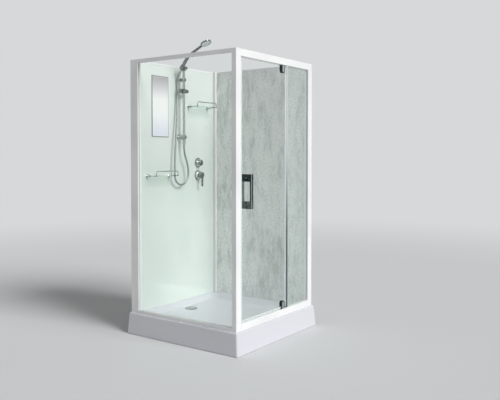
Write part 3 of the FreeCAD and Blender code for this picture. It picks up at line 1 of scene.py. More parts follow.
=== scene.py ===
"""Dresses a corner shower cabin: a low tray, a white frame, clear glass, wall panels and fittings.

Everything is in metres, in the frame of the solids: +Z up, the door facing -Y and the fixed glass
side facing -X, with the origin on the floor under the middle of the tray.
"""

from __future__ import annotations

import json
import logging
import math
from dataclasses import dataclass, field
from enum import Enum
from typing import Any

import bmesh
import bpy
from mathutils import Euler, Matrix, Vector

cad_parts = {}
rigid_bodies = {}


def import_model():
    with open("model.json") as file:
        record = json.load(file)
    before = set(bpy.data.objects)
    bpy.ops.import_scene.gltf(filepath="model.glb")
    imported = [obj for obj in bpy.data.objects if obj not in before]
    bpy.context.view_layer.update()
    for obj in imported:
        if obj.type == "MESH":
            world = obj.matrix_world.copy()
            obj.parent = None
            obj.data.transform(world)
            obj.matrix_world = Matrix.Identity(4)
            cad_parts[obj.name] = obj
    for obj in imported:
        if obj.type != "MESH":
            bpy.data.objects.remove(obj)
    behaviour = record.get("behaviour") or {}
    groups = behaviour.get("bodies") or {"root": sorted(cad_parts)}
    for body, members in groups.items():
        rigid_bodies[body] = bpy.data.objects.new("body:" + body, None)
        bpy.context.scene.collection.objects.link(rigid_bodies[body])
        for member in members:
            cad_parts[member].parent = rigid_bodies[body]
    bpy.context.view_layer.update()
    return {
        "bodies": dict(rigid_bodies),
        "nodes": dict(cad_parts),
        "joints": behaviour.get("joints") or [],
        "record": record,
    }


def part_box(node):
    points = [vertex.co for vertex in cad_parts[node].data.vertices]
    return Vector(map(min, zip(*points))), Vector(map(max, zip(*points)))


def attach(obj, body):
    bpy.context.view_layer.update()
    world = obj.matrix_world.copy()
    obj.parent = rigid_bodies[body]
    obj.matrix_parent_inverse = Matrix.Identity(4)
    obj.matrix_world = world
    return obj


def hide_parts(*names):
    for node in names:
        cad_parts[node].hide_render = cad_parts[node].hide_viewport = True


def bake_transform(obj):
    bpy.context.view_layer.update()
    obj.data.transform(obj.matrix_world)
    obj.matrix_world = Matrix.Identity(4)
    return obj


log = logging.getLogger("shower_cabin")

PHOTO_WIDTH = 500
SENSOR_MM = 36.0
MM_PER_METRE = 1000.0
# The sRGB curve: where its straight foot ends, the foot's slope, and the offset and power above it.
SRGB_FOOT = 0.04045
SRGB_SLOPE = 12.92
SRGB_OFFSET = 0.055
SRGB_POWER = 2.4
# How many radians of its wave the wave node draws in a metre at a scale of 1.
WAVE_RADIANS = 20.0
# A finish that is at least this metallic is a metal, and keeps the shader's own IOR.
METAL_FROM = 0.5

Frame = dict[str, Any]
Point = tuple[float, float, float]
Span = tuple[float, float]
Tree = bpy.types.NodeTree
Node = bpy.types.Node
Socket = bpy.types.NodeSocket

WHOLE: Span = (0.0, 1.0)
ORIGIN: Point = (0.0, 0.0, 0.0)

# The materials made so far, by the finish they show.
made: dict[str, bpy.types.Material] = {}


def linear(colour: str) -> tuple[float, float, float, float]:
    """Turns an sRGB hex colour to linear light.

    Args:
        colour: Six hex digits after a hash sign.

    Returns:
        Red, green, blue and an alpha of 1.
    """
    parts = [int(colour[i : i + 2], 16) / 255 for i in (1, 3, 5)]
    red, green, blue = (
        part / SRGB_SLOPE
        if part <= SRGB_FOOT
        else ((part + SRGB_OFFSET) / (1 + SRGB_OFFSET)) ** SRGB_POWER
        for part in parts
    )
    return red, green, blue, 1.0


def metres(size_mm: float) -> float:
    """Turns a size in millimetres to metres."""
    return size_mm / MM_PER_METRE


def per_metre(mark_mm: float) -> float:
    """Gives a pattern's scale, in marks to the metre, from the real size of one mark."""
    return MM_PER_METRE / mark_mm


def facing(yaw_degrees: float, fall_degrees: float) -> Euler:
    """Gives the turn of a lamp or a camera, which look along their own -Z.

    Args:
        yaw_degrees: Its heading, from +X towards +Y.
        fall_degrees: How far it points below the level.

    Returns:
        The turn.
    """
    yaw, fall = math.radians(yaw_degrees), math.radians(fall_degrees)
    level = math.cos(fall)
    heading = Vector((math.cos(yaw) * level, math.sin(yaw) * level, -math.sin(fall)))
    return heading.to_track_quat("-Z", "Y").to_euler()


class RampBlend(Enum):
    """How a colour ramp goes from one stop to the next."""

    SMOOTH = "EASE"
    STRAIGHT = "LINEAR"


class RimMatch(Enum):
    """Where a rim lies: along any edge of an outline, or only where two edges meet."""

    ANY_EDGE = "MINIMUM"
    CORNER = "MAXIMUM"


@dataclass(frozen=True)
class Ramp:
    """The colours that a value from 0 to 1 stands for.

    Attributes:
        places: The value at each stop.
        colours: The stops' sRGB colours.
        blend: How the colour goes from one stop to the next.
    """

    places: tuple[float, ...]
    colours: tuple[str, ...]
    blend: RampBlend = RampBlend.STRAIGHT

    def fill(self, ramp: bpy.types.ColorRamp) -> None:
        """Writes the stops to a node.

        Args:
            ramp: The node's ramp, which has two stops.
        """
        ramp.interpolation = self.blend.value
        # New stops start halfway, and then all go to their places.
        while len(ramp.elements) < len(self.places):
            ramp.elements.new(sum(WHOLE) / 2)
        for element, place, colour in zip(ramp.elements, self.places, self.colours):
            element.position = place
            element.color = linear(colour)


@dataclass(frozen=True)
class Pattern:
    """An uneven pattern, such as a peel, a grain or smears.

    Attributes:
        mark_mm: The size of its marks, in millimetres.
        layers: How many layers of finer marks it has.
        harshness: How much each finer layer tells.
        swirl: How far the marks are pulled about.
    """

    mark_mm: float
    layers: float = 2.0
    harshness: float = 0.5
    swirl: float = 0.0

    def settings(self) -> dict[str, float]:
        """Gives the settings of the noise that draws it."""
        return {
            "Scale": per_metre(self.mark_mm),
            "Detail": self.layers,
            "Roughness": self.harshness,
            "Distortion": self.swirl,
        }


def add_node(
    tree: Tree,
    kind: str,
    settings: dict[str | int, Any] | None = None,
    links: dict[str | int, Socket] | None = None,
) -> Node:
    """Adds one node to a tree.

    Args:
        tree: The tree that gets the node.
        kind: The node's type name.
        settings: Values for the node's own properties, or else for its input sockets. A Ramp
            fills the node's colour ramp.
        links: Output sockets of other nodes, for this node's inputs.

    Returns:
        The new node.
    """
    node = tree.nodes.new(kind)
    for name, value in (settings or {}).items():
        if isinstance(value, Ramp):
            value.fill(node.color_ramp)
        elif isinstance(name, str) and hasattr(node, name):
            setattr(node, name, value)
        else:
            node.inputs[name].default_value = value
    for name, source in (links or {}).items():
        tree.links.new(source, node.inputs[name])
    return node


def seen_directly(tree: Tree) -> Socket:
    """Tells what is seen, in a mirror or through glass too, from what only lights.

    Args:
        tree: A material's or the world's tree.

    Returns:
        1 for a ray that shows, 0 for one that lights.
    """
    path = add_node(tree, "ShaderNodeLightPath")
    seen = path.outputs["Is Camera Ray"]
    for ray in ("Is Glossy Ray", "Is Transmission Ray"):
        either = add_node(
            tree, "ShaderNodeMath", {"operation": "MAXIMUM"}, {0: seen, 1: path.outputs[ray]}
        )
        seen = either.outputs["Value"]
    return seen


def show_mixed(tree: Tree, output: str, share: Socket, usual: Socket, other: Socket) -> None:
    """Shows the usual shader at a tree's output, and the other one in its place by its share."""
    mixed = add_node(tree, "ShaderNodeMixShader", links={0: share, 1: usual, 2: other})
    tree.links.new(mixed.outputs["Shader"], tree.nodes[output].inputs["Surface"])


@dataclass
class Surface:
    """A material in the making.

    Attributes:
        tree: Its nodes.
        shader: Its Principled node.
        place: The point's place on the piece, in metres.
    """

    tree: Tree
    shader: Node
    place: Socket

    @property
    def at(self) -> dict[str, Socket]:
        """Gives the link that lays a pattern on the piece."""
        return {"Vector": self.place}

    def feed(self, name: str, source: Socket) -> None:
        """Feeds one of the shader's inputs from another node."""
        self.tree.links.new(source, self.shader.inputs[name])

    def along(self, axis: str, start: float, end: float) -> Socket:
        """Measures how far along a stretch of an axis a point lies.

        Args:
            axis: The axis's letter.
            start: Where the stretch starts, in metres.
            end: Where it ends.

        Returns:
            0 up to the start, 1 from the end on.
        """
        axes = add_node(self.tree, "ShaderNodeSeparateXYZ", links=self.at)
        stretch = {"From Min": start, "From Max": end}
        share = add_node(self.tree, "ShaderNodeMapRange", stretch, {"Value": axes.outputs[axis]})
        return share.outputs["Result"]

    def inside_rim(
        self,
        axes: str,
        low: Point,
        high: Point,
        rim_mm: float,
        match: RimMatch = RimMatch.ANY_EDGE,
    ) -> Socket:
        """Tells the middle of an outline from its rim.

        Args:
            axes: The two axes that the outline lies along.
            low: The piece's lowest corner.
            high: Its highest corner.
            rim_mm: The rim's width, in millimetres.
            match: Where the rim lies.

        Returns:
            1 in the middle, 0 on the rim.
        """
        split = add_node(self.tree, "ShaderNodeSeparateXYZ", links=self.at)
        spans = dict(zip("XYZ", zip(low, high)))
        sides = {}
        for i, axis in enumerate(axes):
            start, end = spans[axis]
            # The compare node takes a middle and how far from it still counts.
            settings = {
                "operation": "COMPARE",
                1: (start + end) / 2,
                2: (end - start) / 2 - metres(rim_mm),
            }
            side = add_node(self.tree, "ShaderNodeMath", settings, {0: split.outputs[axis]})
            sides[i] = side.outputs["Value"]
        both = add_node(self.tree, "ShaderNodeMath", {"operation": match.value}, sides)
        return both.outputs["Value"]

    def colour_by(self, value: Socket, ramp: Ramp) -> None:
        """Colours the surface by a pattern's value, with the colours that it stands for."""
        tint = add_node(self.tree, "ShaderNodeValToRGB", {"color_ramp": ramp}, {"Fac": value})
        self.feed("Base Color", tint.outputs["Color"])

    def colour_with_rim(self, value: Socket, ramp: Ramp, inside: Socket, rim: str) -> None:
        """Colours the surface by a pattern, and its rim plainly.

        Args:
            value: The pattern's value.
            ramp: The colours that it stands for.
            inside: 1 in the middle, 0 on the rim.
            rim: The rim's colour.
        """
        tint = add_node(self.tree, "ShaderNodeValToRGB", {"color_ramp": ramp}, {"Fac": value})
        edged = add_node(
            self.tree,
            "ShaderNodeMix",
            {"data_type": "RGBA", "A": linear(rim)},
            {"Factor": inside, "B": tint.outputs["Color"]},
        )
        self.feed("Base Color", edged.outputs["Result"])

    def emboss(self, height: Socket, depth_mm: float) -> None:
        """Raises a pattern on the surface.

        Args:
            height: The pattern's value.
            depth_mm: How far the pattern stands out, in millimetres.
        """
        settings = {"Strength": 1.0, "Distance": metres(depth_mm)}
        raised = add_node(self.tree, "ShaderNodeBump", settings, {"Height": height})
        self.feed("Normal", raised.outputs["Normal"])

    def vary_roughness(self, value: Socket, usual: float, spread: float) -> None:
        """Lets the roughness wander about its usual value.

        Args:
            value: A pattern from 0 to 1.
            usual: The roughness in the middle.
            spread: The whole width of the change.
        """
        low = max(0.0, usual - spread / 2)
        settings = {"To Min": low, "To Max": low + spread}
        varied = add_node(self.tree, "ShaderNodeMapRange", settings, {"Value": value})
        self.feed("Roughness", varied.outputs["Result"])


@dataclass(frozen=True)
class Finish:
    """A surface: what it is made of and how it was made.

    Attributes:
        name: The material's name.
        colour: Its sRGB colour.
        roughness: How matt it is.
        metallic: 1 for bare metal.
        ior: How strongly it reflects and bends light.
        coat: How much of a clear, polished face lies over it.
        coat_roughness: How matt that face is.
    """

    name: str
    colour: str
    roughness: float
    metallic: float = 0.0
    ior: float = 1.5
    coat: float = 0.0
    coat_roughness: float = 0.03

    def material(self) -> bpy.types.Material:
        """Gives the finish's material, made at its first use.

        Returns:
            The material.
        """
        if self.name in made:
            return made[self.name]
        material = bpy.data.materials.new(self.name)
        made[self.name] = material
        material.use_nodes = True
        tree = material.node_tree
        shader = tree.nodes["Principled BSDF"]
        shader.inputs["Base Color"].default_value = linear(self.colour)
        shader.inputs["Roughness"].default_value = self.roughness
        shader.inputs["Metallic"].default_value = self.metallic
        shader.inputs["Coat Weight"].default_value = self.coat
        shader.inputs["Coat Roughness"].default_value = self.coat_roughness
        if self.metallic < METAL_FROM:
            shader.inputs["IOR"].default_value = self.ior
        place = add_node(tree, "ShaderNodeTexCoord").outputs["Object"]
        self.detail(Surface(tree, shader, place))
        return material

    def detail(self, surface: Surface) -> None:
        """Adds what the bare shader lacks. The plain case lacks nothing."""


@dataclass(frozen=True)
class MouldedSheet(Finish):
    """Vacuum-formed acrylic: a glossy skin with a long, faint orange peel and wiping marks."""

    peel: Pattern = Pattern(14.0)
    peel_depth_mm: float = 0.06
    smears: Pattern = Pattern(90.0, layers=4.0, swirl=0.6)
    smear_spread: float = 0.10

    def detail(self, surface: Surface) -> None:
        """Adds the orange peel and the wiping marks.

        Args:
            surface: The material in the making.
        """
        peel = add_node(surface.tree, "ShaderNodeTexNoise", self.peel.settings(), surface.at)
        surface.emboss(peel.outputs["Fac"], self.peel_depth_mm)
        smears = add_node(surface.tree, "ShaderNodeTexNoise", self.smears.settings(), surface.at)
        surface.vary_roughness(smears.outputs["Fac"], self.roughness, self.smear_spread)


@dataclass(frozen=True)
class PowderCoat(Finish):
    """Gloss powder coat on extruded aluminium: a slow change of tone, and a fine even peel that is
    drawn coarser than its true millimetre so that it shows."""

    peel: Pattern = Pattern(5.0, layers=1.0)
    peel_depth_mm: float = 0.03
    tone: Pattern = Pattern(260.0, layers=3.0)
    tone_stops: Span = (0.3, 0.7)
    tone_spread: float = 0.08
    shade: str = "#eceded"

    def detail(self, surface: Surface) -> None:
        """Adds the peel and the change of tone.

        Args:
            surface: The material in the making.
        """
        peel = add_node(surface.tree, "ShaderNodeTexNoise", self.peel.settings(), surface.at)
        surface.emboss(peel.outputs["Fac"], self.peel_depth_mm)
        noise = add_node(surface.tree, "ShaderNodeTexNoise", self.tone.settings(), surface.at)
        tone = noise.outputs["Fac"]
        ramp = Ramp(self.tone_stops, (self.shade, self.colour), RampBlend.SMOOTH)
        surface.colour_by(tone, ramp)
        surface.vary_roughness(tone, self.roughness, self.tone_spread)


@dataclass(frozen=True)
class ClearSheet(Finish):
    """Clear glass or vinyl, with a haze where it is dull. Light for the inside of the cabin passes
    straight through it."""

    let_through: str = "#fafcfb"
    haze: float = 0.0

    def detail(self, surface: Surface) -> None:
        """Makes the sheet clear, and lets light through without bending it.

        Args:
            surface: The material in the making.
        """
        tree, shader = surface.tree, surface.shader
        shader.inputs["Transmission Weight"].default_value = 1.0 - self.haze
        film = add_node(tree, "ShaderNodeBsdfTransparent", {"Color": linear(self.let_through)})
        path = add_node(tree, "ShaderNodeLightPath")
        indirect = add_node(
            tree,
            "ShaderNodeMath",
            {"operation": "MAXIMUM"},
            {0: path.outputs["Is Shadow Ray"], 1: path.outputs["Is Diffuse Ray"]},
        )
        show_mixed(
            tree,
            "Material Output",
            indirect.outputs["Value"],
            shader.outputs["BSDF"],
            film.outputs["BSDF"],
        )


@dataclass(frozen=True)
class PaintedGlass(Finish):
    """Back-painted glass: an even pastel under a polished face, a little cloudy from the roller."""

    clouds: Pattern = Pattern(420.0)
    cloud_stops: Span = (0.25, 0.75)
    shade: str = "#dde7e1"

    def detail(self, surface: Surface) -> None:
        """Adds the roller's clouds.

        Args:
            surface: The material in the making.
        """
        clouds = add_node(surface.tree, "ShaderNodeTexNoise", self.clouds.settings(), surface.at)
        ramp = Ramp(self.cloud_stops, (self.shade, self.colour), RampBlend.SMOOTH)
        surface.colour_by(clouds.outputs["Fac"], ramp)


@dataclass(frozen=True)
class PrintLayer:
    """One more ink of a print, laid over the others.

    Attributes:
        pattern: Where the ink lies.
        upright: The pattern's scale upright, where less than 1 draws its marks out.
        onset: The pattern's values between which the ink sets in.
        share: How much the ink covers at most.
        colour: The ink's colour.
    """

    pattern: Pattern
    upright: float
    onset: Span
    share: float
    colour: str


@dataclass(frozen=True)
class ConcretePrint(Finish):
    """Glass with a printed concrete pattern on its back: soft patches, trowel streaks and specks."""

    patches: Pattern = Pattern(85.0, layers=9.0, harshness=0.72, swirl=0.3)
    patch_upright: float = 0.36
    patch_stops: tuple[float, ...] = (0.36, 0.52, 0.66)
    dark: str = "#c9d0cd"
    pale: str = "#fefffe"
    streaks: PrintLayer = PrintLayer(
        Pattern(26.0, layers=6.0, harshness=0.7),
        upright=0.2,
        onset=(0.5, 0.68),
        share=0.8,
        colour="#fefffe",
    )
    specks: PrintLayer = PrintLayer(
        Pattern(14.0, layers=4.0, harshness=0.8),
        upright=1.0,
        onset=(0.48, 0.68),
        share=0.7,
        colour="#b9c0bc",
    )

    def stretched(self, surface: Surface, upright: float) -> dict[str, Socket]:
        """Draws a pattern's marks out upright.

        Args:
            surface: The material in the making.
            upright: The pattern's scale upright.

        Returns:
            The link that a pattern's node needs.
        """
        scale = {"Scale": (1.0, 1.0, upright)}
        drawn = add_node(surface.tree, "ShaderNodeMapping", scale, surface.at)
        return {"Vector": drawn.outputs["Vector"]}

    def detail(self, surface: Surface) -> None:
        """Lays the patches, the streaks and the specks over each other.

        Args:
            surface: The material in the making.
        """
        tree = surface.tree
        at = self.stretched(surface, self.patch_upright)
        patches = add_node(tree, "ShaderNodeTexNoise", self.patches.settings(), at)
        ramp = Ramp(self.patch_stops, (self.dark, self.colour, self.pale))
        ground = add_node(
            tree, "ShaderNodeValToRGB", {"color_ramp": ramp}, {"Fac": patches.outputs["Fac"]}
        )
        colour = ground.outputs["Color"]
        for layer in (self.streaks, self.specks):
            at = self.stretched(surface, layer.upright)
            marks = add_node(tree, "ShaderNodeTexNoise", layer.pattern.settings(), at)
            start, end = layer.onset
            share = add_node(
                tree,
                "ShaderNodeMapRange",
                {"From Min": start, "From Max": end, "To Max": layer.share},
                {"Value": marks.outputs["Fac"]},
            )
            inked = add_node(
                tree,
                "ShaderNodeMix",
                {"data_type": "RGBA", "B": linear(layer.colour)},
                {"Factor": share.outputs["Result"], "A": colour},
            )
            colour = inked.outputs["Result"]
        surface.feed("Base Color", colour)


@dataclass(frozen=True)
class BrightPlate(Finish):
    """Bright plating: a mirror-like metal with faint smears of dried water."""

    smears: Pattern = Pattern(22.0, layers=5.0, swirl=0.8)
    smear_spread: float = 0.06

    def detail(self, surface: Surface) -> None:
        """Adds the smears.

        Args:
            surface: The material in the making.
        """
        smears = add_node(surface.tree, "ShaderNodeTexNoise", self.smears.settings(), surface.at)
        surface.vary_roughness(smears.outputs["Fac"], self.roughness, self.smear_spread)


@dataclass(frozen=True)
class WallFitting(BrightPlate):
    """Plate on a fitting that stands out of the rear panel: it has one tone at the panel and its own
    colour further out. On chrome both tones are painted reflection; on the valve block the tone at
    the panel is the bare brass.

    Attributes:
        at_panel: The tone at the panel: a painted reflection on chrome, and the brass's own colour on
            the valve block.
        panel_y: Where the panel's face lies, in metres.
        change_mm: How far out of the panel the change of tone starts and ends.
    """

    at_panel: str = "#e6ece9"
    panel_y: float = 0.455
    change_mm: Span = (7.0, 12.0)

    def detail(self, surface: Surface) -> None:
        """Adds the smears and the change of tone, which on chrome is painted reflection.

        Args:
            surface: The material in the making.
        """
        super().detail(surface)
        near, far = (self.panel_y - metres(change) for change in self.change_mm)
        surface.colour_by(surface.along("Y", far, near), Ramp(WHOLE, (self.colour, self.at_panel)))


@dataclass(frozen=True)
class BevelledPlate(BrightPlate):
    """Bright plate on a block with a wide bevel, which gets painted shade where it turns from the
    light.
    """

    low: Point = ORIGIN
    high: Point = ORIGIN
    bevel_mm: float = 8.0
    # The bevel's colour: painted shade.
    bevel: str = "#39413f"

    def detail(self, surface: Surface) -> None:
        """Adds the smears and the painted shade on the bevel.

        Args:
            surface: The material in the making.
        """
        super().detail(surface)
        inside = surface.inside_rim("XZ", self.low, self.high, self.bevel_mm)
        surface.colour_by(inside, Ramp(WHOLE, (self.bevel, self.colour)))


@dataclass(frozen=True)
class EdgedGrip(BrightPlate):
    """Dark chrome plate on a square handle: painted highlights along its polished upright edges, and
    a painted reflection that makes its lower leg paler than its upper leg, as if it mirrored more
    of the pale floor.

    Attributes:
        low: The lowest corner of the pair of handles.
        high: Their highest corner.
        edge_mm: The width of the painted highlights on the edges.
        leg_mm: The height of a leg.
        turn: The share of a leg, each way from its end, over which the tone changes.
        edge: The colour of the painted highlights on the edges.
        lower_leg: The lower leg's colour, a pale painted reflection.
        upper_leg: The upper leg's colour, a dark painted reflection.
    """

    low: Point = ORIGIN
    high: Point = ORIGIN
    edge_mm: float = 3.0
    leg_mm: float = 50.0
    turn: float = 0.1
    edge: str = "#b4bbb9"
    lower_leg: str = "#5f6966"
    upper_leg: str = "#3a4140"

    def detail(self, surface: Surface) -> None:
        """Adds the smears, the painted reflections on the legs and the painted highlights on the
        edges.

        Args:
            surface: The material in the making.
        """
        super().detail(surface)
        foot, top = self.low[2], self.high[2]
        leg = metres(self.leg_mm) / (top - foot)
        turn = leg * self.turn
        places = (leg - turn, leg + turn, 1 - leg - turn, 1 - leg + turn)
        ramp = Ramp(places, (self.lower_leg, self.colour, self.colour, self.upper_leg))
        flat = surface.inside_rim("XY", self.low, self.high, self.edge_mm, RimMatch.CORNER)
        surface.colour_with_rim(surface.along("Z", foot, top), ramp, flat, self.edge)


@dataclass(frozen=True)
class DrawnStrip(BrightPlate):
    """Drawn and polished aluminium under a painted reflection: bright towards its top, and darker
    where it mirrors the tray.

    Attributes:
        low_z: Where the strip starts, in metres.
        high_z: Where it ends.
        stops: The shares of its height between which the tone changes.
        shade: Its colour towards its foot, a dark painted reflection.
    """

    low_z: float = 0.2
    high_z: float = 1.94
    stops: Span = (0.25, 0.75)
    shade: str = "#7c878b"

    def detail(self, surface: Surface) -> None:
        """Adds the smears, and the painted reflection: a change of tone along the strip.

        Args:
            surface: The material in the making.
        """
        super().detail(surface)
        ramp = Ramp(self.stops, (self.shade, self.colour), RampBlend.SMOOTH)
        surface.colour_by(surface.along("Z", self.low_z, self.high_z), ramp)


@dataclass(frozen=True)
class SilveredGlass(Finish):
    """A silvered mirror in painted reflection: bright, greyer at its top and bluer at its foot, with
    a darker line of painted shade where the bevel turns away."""

    low: Point = ORIGIN
    high: Point = ORIGIN
    bevel_mm: float = 5.0
    stops: tuple[float, ...] = (0.05, 0.4, 0.62, 0.95)
    top: str = "#bdb9bd"
    foot: str = "#eff2ff"
    bevel: str = "#7d8785"

    def detail(self, surface: Surface) -> None:
        """Paints the reflection, graded up the mirror's height, and the painted shade on its bevel.

        Args:
            surface: The material in the making.
        """
        height = surface.along("Z", self.low[2], self.high[2])
        ramp = Ramp(self.stops, (self.foot, self.colour, self.colour, self.top))
        inside = surface.inside_rim("XZ", self.low, self.high, self.bevel_mm)
        surface.colour_with_rim(height, ramp, inside, self.bevel)


@dataclass(frozen=True)
class Galvanised(Finish):
    """Hot-dip galvanised steel: dull grey zinc with flower-like crystals."""

    crystal_mm: float = 12.0
    crystal_spread: float = 0.2
    shade: str = "#8d9295"

    def detail(self, surface: Surface) -> None:
        """Adds the crystals.

        Args:
            surface: The material in the making.
        """
        scale = {"Scale": per_metre(self.crystal_mm)}
        crystals = add_node(surface.tree, "ShaderNodeTexVoronoi", scale, surface.at)
        grey = add_node(
            surface.tree, "ShaderNodeRGBToBW", links={"Color": crystals.outputs["Color"]}
        )
        tone = grey.outputs["Val"]
        surface.colour_by(tone, Ramp(WHOLE, (self.shade, self.colour)))
        surface.vary_roughness(tone, self.roughness, self.crystal_spread)


@dataclass(frozen=True)
class GrainedPlastic(Finish):
    """Moulded plastic or rubber with a fine spark-eroded grain, drawn coarse enough to show."""

    grain: Pattern = Pattern(2.0)
    grain_depth_mm: float = 0.05
    grain_spread: float = 0.12

    def detail(self, surface: Surface) -> None:
        """Adds the grain.

        Args:
            surface: The material in the making.
        """
        grain = add_node(surface.tree, "ShaderNodeTexNoise", self.grain.settings(), surface.at)
        surface.emboss(grain.outputs["Fac"], self.grain_depth_mm)
        surface.vary_roughness(grain.outputs["Fac"], self.roughness, self.grain_spread)


@dataclass(frozen=True)
class WoundSheath(Finish):
    """A silver sheath over a wound hose: a soft sheen, with the winding's rings showing through,
    their grooves darkened with painted shade.
    """

    pitch_mm: float = 4.0
    ring_depth_mm: float = 0.25
    ring_stops: Span = (0.0, 0.6)
    # The grooves' colour: painted shade.
    shade: str = "#6f7876"

    def detail(self, surface: Surface) -> None:
        """Adds the rings, in relief and with painted shade in their grooves.

        Args:
            surface: The material in the making.
        """
        settings = {
            "wave_type": "BANDS",
            "bands_direction": "Z",
            "Scale": per_metre(self.pitch_mm) * math.tau / WAVE_RADIANS,
        }
        rings = add_node(surface.tree, "ShaderNodeTexWave", settings, surface.at)
        surface.colour_by(rings.outputs["Fac"], Ramp(self.ring_stops, (self.shade, self.colour)))
        surface.emboss(rings.outputs["Fac"], self.ring_depth_mm)


# Sanitary acrylic, vacuum-formed: a cool white with a soft shine.
ACRYLIC = MouldedSheet("white_sanitary_acrylic", "#d9dae0", 0.22, ior=1.49)
# Extruded aluminium under gloss powder coat: clean white with sharp, bright arrises.
WHITE_COAT = PowderCoat("white_powder_coat", "#f6f6f6", 0.30)
# White polypropylene mouldings: matched to the coat, and a little duller.
WHITE_CAP = GrainedPlastic("white_polypropylene", "#f3f3f3", 0.38)
# Toughened float glass, 6 mm: almost clear, faintly green.
PANE = ClearSheet("toughened_float_glass", "#fcfefd", 0.0)
# The fixed front pane, with a thin bloom of dried water: a trace milkier than the door.
BLOOMED_PANE = ClearSheet("bloomed_float_glass", "#f8fffc", 0.0, haze=0.08)
# The shelves are the same glass seen through its edge, which is greener.
SHELF_PANE = ClearSheet("shelf_float_glass", "#e2f1ea", 0.0, let_through="#f4f9f6")
# Back-painted glass, polished: an even pale mint that mirrors the fittings faintly.
MINT = PaintedGlass("mint_back_painted_glass", "#e6ede8", 0.08, coat=0.6, coat_roughness=0.02)
# Glass printed with a concrete pattern: a mottled grey-green with a quiet shine.
CONCRETE = ConcretePrint("concrete_print_glass", "#f6f8f6", 0.16, coat=0.4)
# Chrome plate on brass or zinc: dark and bright at once.
CHROME = BrightPlate("bright_chrome_plate", "#c4cbc9", 0.12, metallic=1.0)
# The same plate on the valves, the sliding clamp and the hand shower: darker, as if in shade.
SHADED_CHROME = BrightPlate("shaded_chrome_plate", "#7d8684", 0.12, metallic=1.0)
# Chrome plate on the riser's wall fittings: pale at the root, a painted reflection of the panel.
RISER_CHROME = WallFitting("riser_chrome_plate", "#a3acaa", 0.12, metallic=1.0)
# Chrome plate on the valves' dished covers: painted reflection, a dark rim round a bright middle.
ROSE_CHROME = WallFitting(
    "dished_chrome_plate",
    "#f4f7f6",
    0.12,
    metallic=1.0,
    at_panel="#5a6361",
    change_mm=(3.0, 6.5),
)
# Chrome plate on the waste cover, brushed: duller and greyer than the rest.
BRUSHED_CHROME = BrightPlate("brushed_chrome_plate", "#a3acab", 0.28, metallic=1.0)
# Polished aluminium edge strip: a soft grey metal, with a painted reflection up its height.
POLISHED = DrawnStrip("drawn_polished_aluminium", "#f2f5f6", 0.16, metallic=1.0)
# Galvanised steel channel under the tray: dull grey, with pale and dark crystals.
ZINC = Galvanised("hot_dip_galvanised_steel", "#a3a8aa", 0.45, metallic=1.0)
# Black polypropylene, moulded: a dark satin.
BLACK_PLASTIC = GrainedPlastic("black_polypropylene", "#1c1d1f", 0.5)
# Black nitrile rubber, moulded: matt and almost without a highlight.
RUBBER = GrainedPlastic("black_nitrile_rubber", "#141414", 0.7, grain=Pattern(1.5))
# Grey glazing rubber, extruded: painted pale, as painted light from the white frame about it.
GASKET = GrainedPlastic("grey_glazing_rubber", "#c9cdcd", 0.55, grain=Pattern(3.0))
# Clear PVC strips on the glass's edges, extruded: a little milky.
CLEAR_STRIP = ClearSheet("clear_pvc_strip", "#f4f8f7", 0.1, ior=1.3, haze=0.3)
# Grey acetal, moulded: a waxy satin.
ACETAL = GrainedPlastic("grey_acetal", "#b9bdbd", 0.42)
# Grey silicone of the spray face and its nozzles, moulded: pale and soft.
SILICONE = GrainedPlastic("pale_grey_silicone", "#eef2f0", 0.48, grain=Pattern(1.2))
# Raw brass behind the panel: a dull yellow metal.
BRASS = BrightPlate("raw_brass", "#a8976c", 0.42, metallic=1.0)
# Valve block: brass behind the panel, plated silver where the sleeves stand out, in painted
# highlight.
PART_PLATED = WallFitting(
    "brass_with_plated_sleeves",
    "#dde2e0",
    0.30,
    metallic=1.0,
    at_panel=BRASS.colour,
    change_mm=(0.0, 0.2),
)
# Wound hose in a silver sheath: a grey, silky tube.
SHEATH = WoundSheath("silver_hose_sheath", "#a9b1af", 0.38, metallic=0.9)


def paint(piece: bpy.types.Object, finish: Finish) -> None:
    """Gives a piece one finish all over.

    Args:
        piece: A mesh object.
        finish: What its surface is.
    """
    material = finish.material()
    slots = piece.data.materials
    if len(slots) == 0:
        slots.append(material)
    for i in range(len(slots)):
        slots[i] = material


def put_in_scene(name: str, data: bpy.types.ID) -> bpy.types.Object:
    """Puts a new object in the scene.

    Args:
        name: The object's name.
        data: Its mesh, curve, lamp or camera.

    Returns:
        The object.
    """
    item = bpy.data.objects.new(name, data)
    bpy.context.scene.collection.objects.link(item)
    return item


def mesh_piece(
    name: str, mesh: bpy.types.Mesh, finish: Finish, crease_degrees: float = 35.0
) -> bpy.types.Object:
    """Puts a new mesh in the scene as a piece.

    Args:
        name: The piece's name.
        mesh: Its mesh, in place.
        finish: What its surface is.
        crease_degrees: Edges sharper than this stay crisp.

    Returns:
        The piece's object.
    """
    piece = put_in_scene(name, mesh)
    mesh.shade_smooth()
    mesh.set_sharp_from_angle(angle=math.radians(crease_degrees))
    paint(piece, finish)
    log.info("built %s, %d faces", name, len(mesh.polygons))
    return piece


def mesh_from(name: str, shape: bmesh.types.BMesh) -> bpy.types.Mesh:
    """Turns an edited shape to a mesh, and lets the shape go.

    Args:
        name: The mesh's name.
        shape: The shape.

    Returns:
        The mesh.
    """
    mesh = bpy.data.meshes.new(name)
    shape.to_mesh(mesh)
    shape.free()
    return mesh


@dataclass
class Assembly:
    """A sub-assembly of the cabin.

    Attributes:
        frame: The loaded solids.
        finishes: The finish of each solid that shows as it is.
    """

    frame: Frame
    finishes: dict[str, Finish] = field(default_factory=dict)

    def build(self) -> None:
        """Builds the meshes that the solids lack. The plain case has none."""

    def dress(self) -> None:
        """Paints the solids."""
        for node, finish in self.finishes.items():
            paint(self.frame["nodes"][node], finish)
            log.info("dressed %s with %s", node, finish.name)


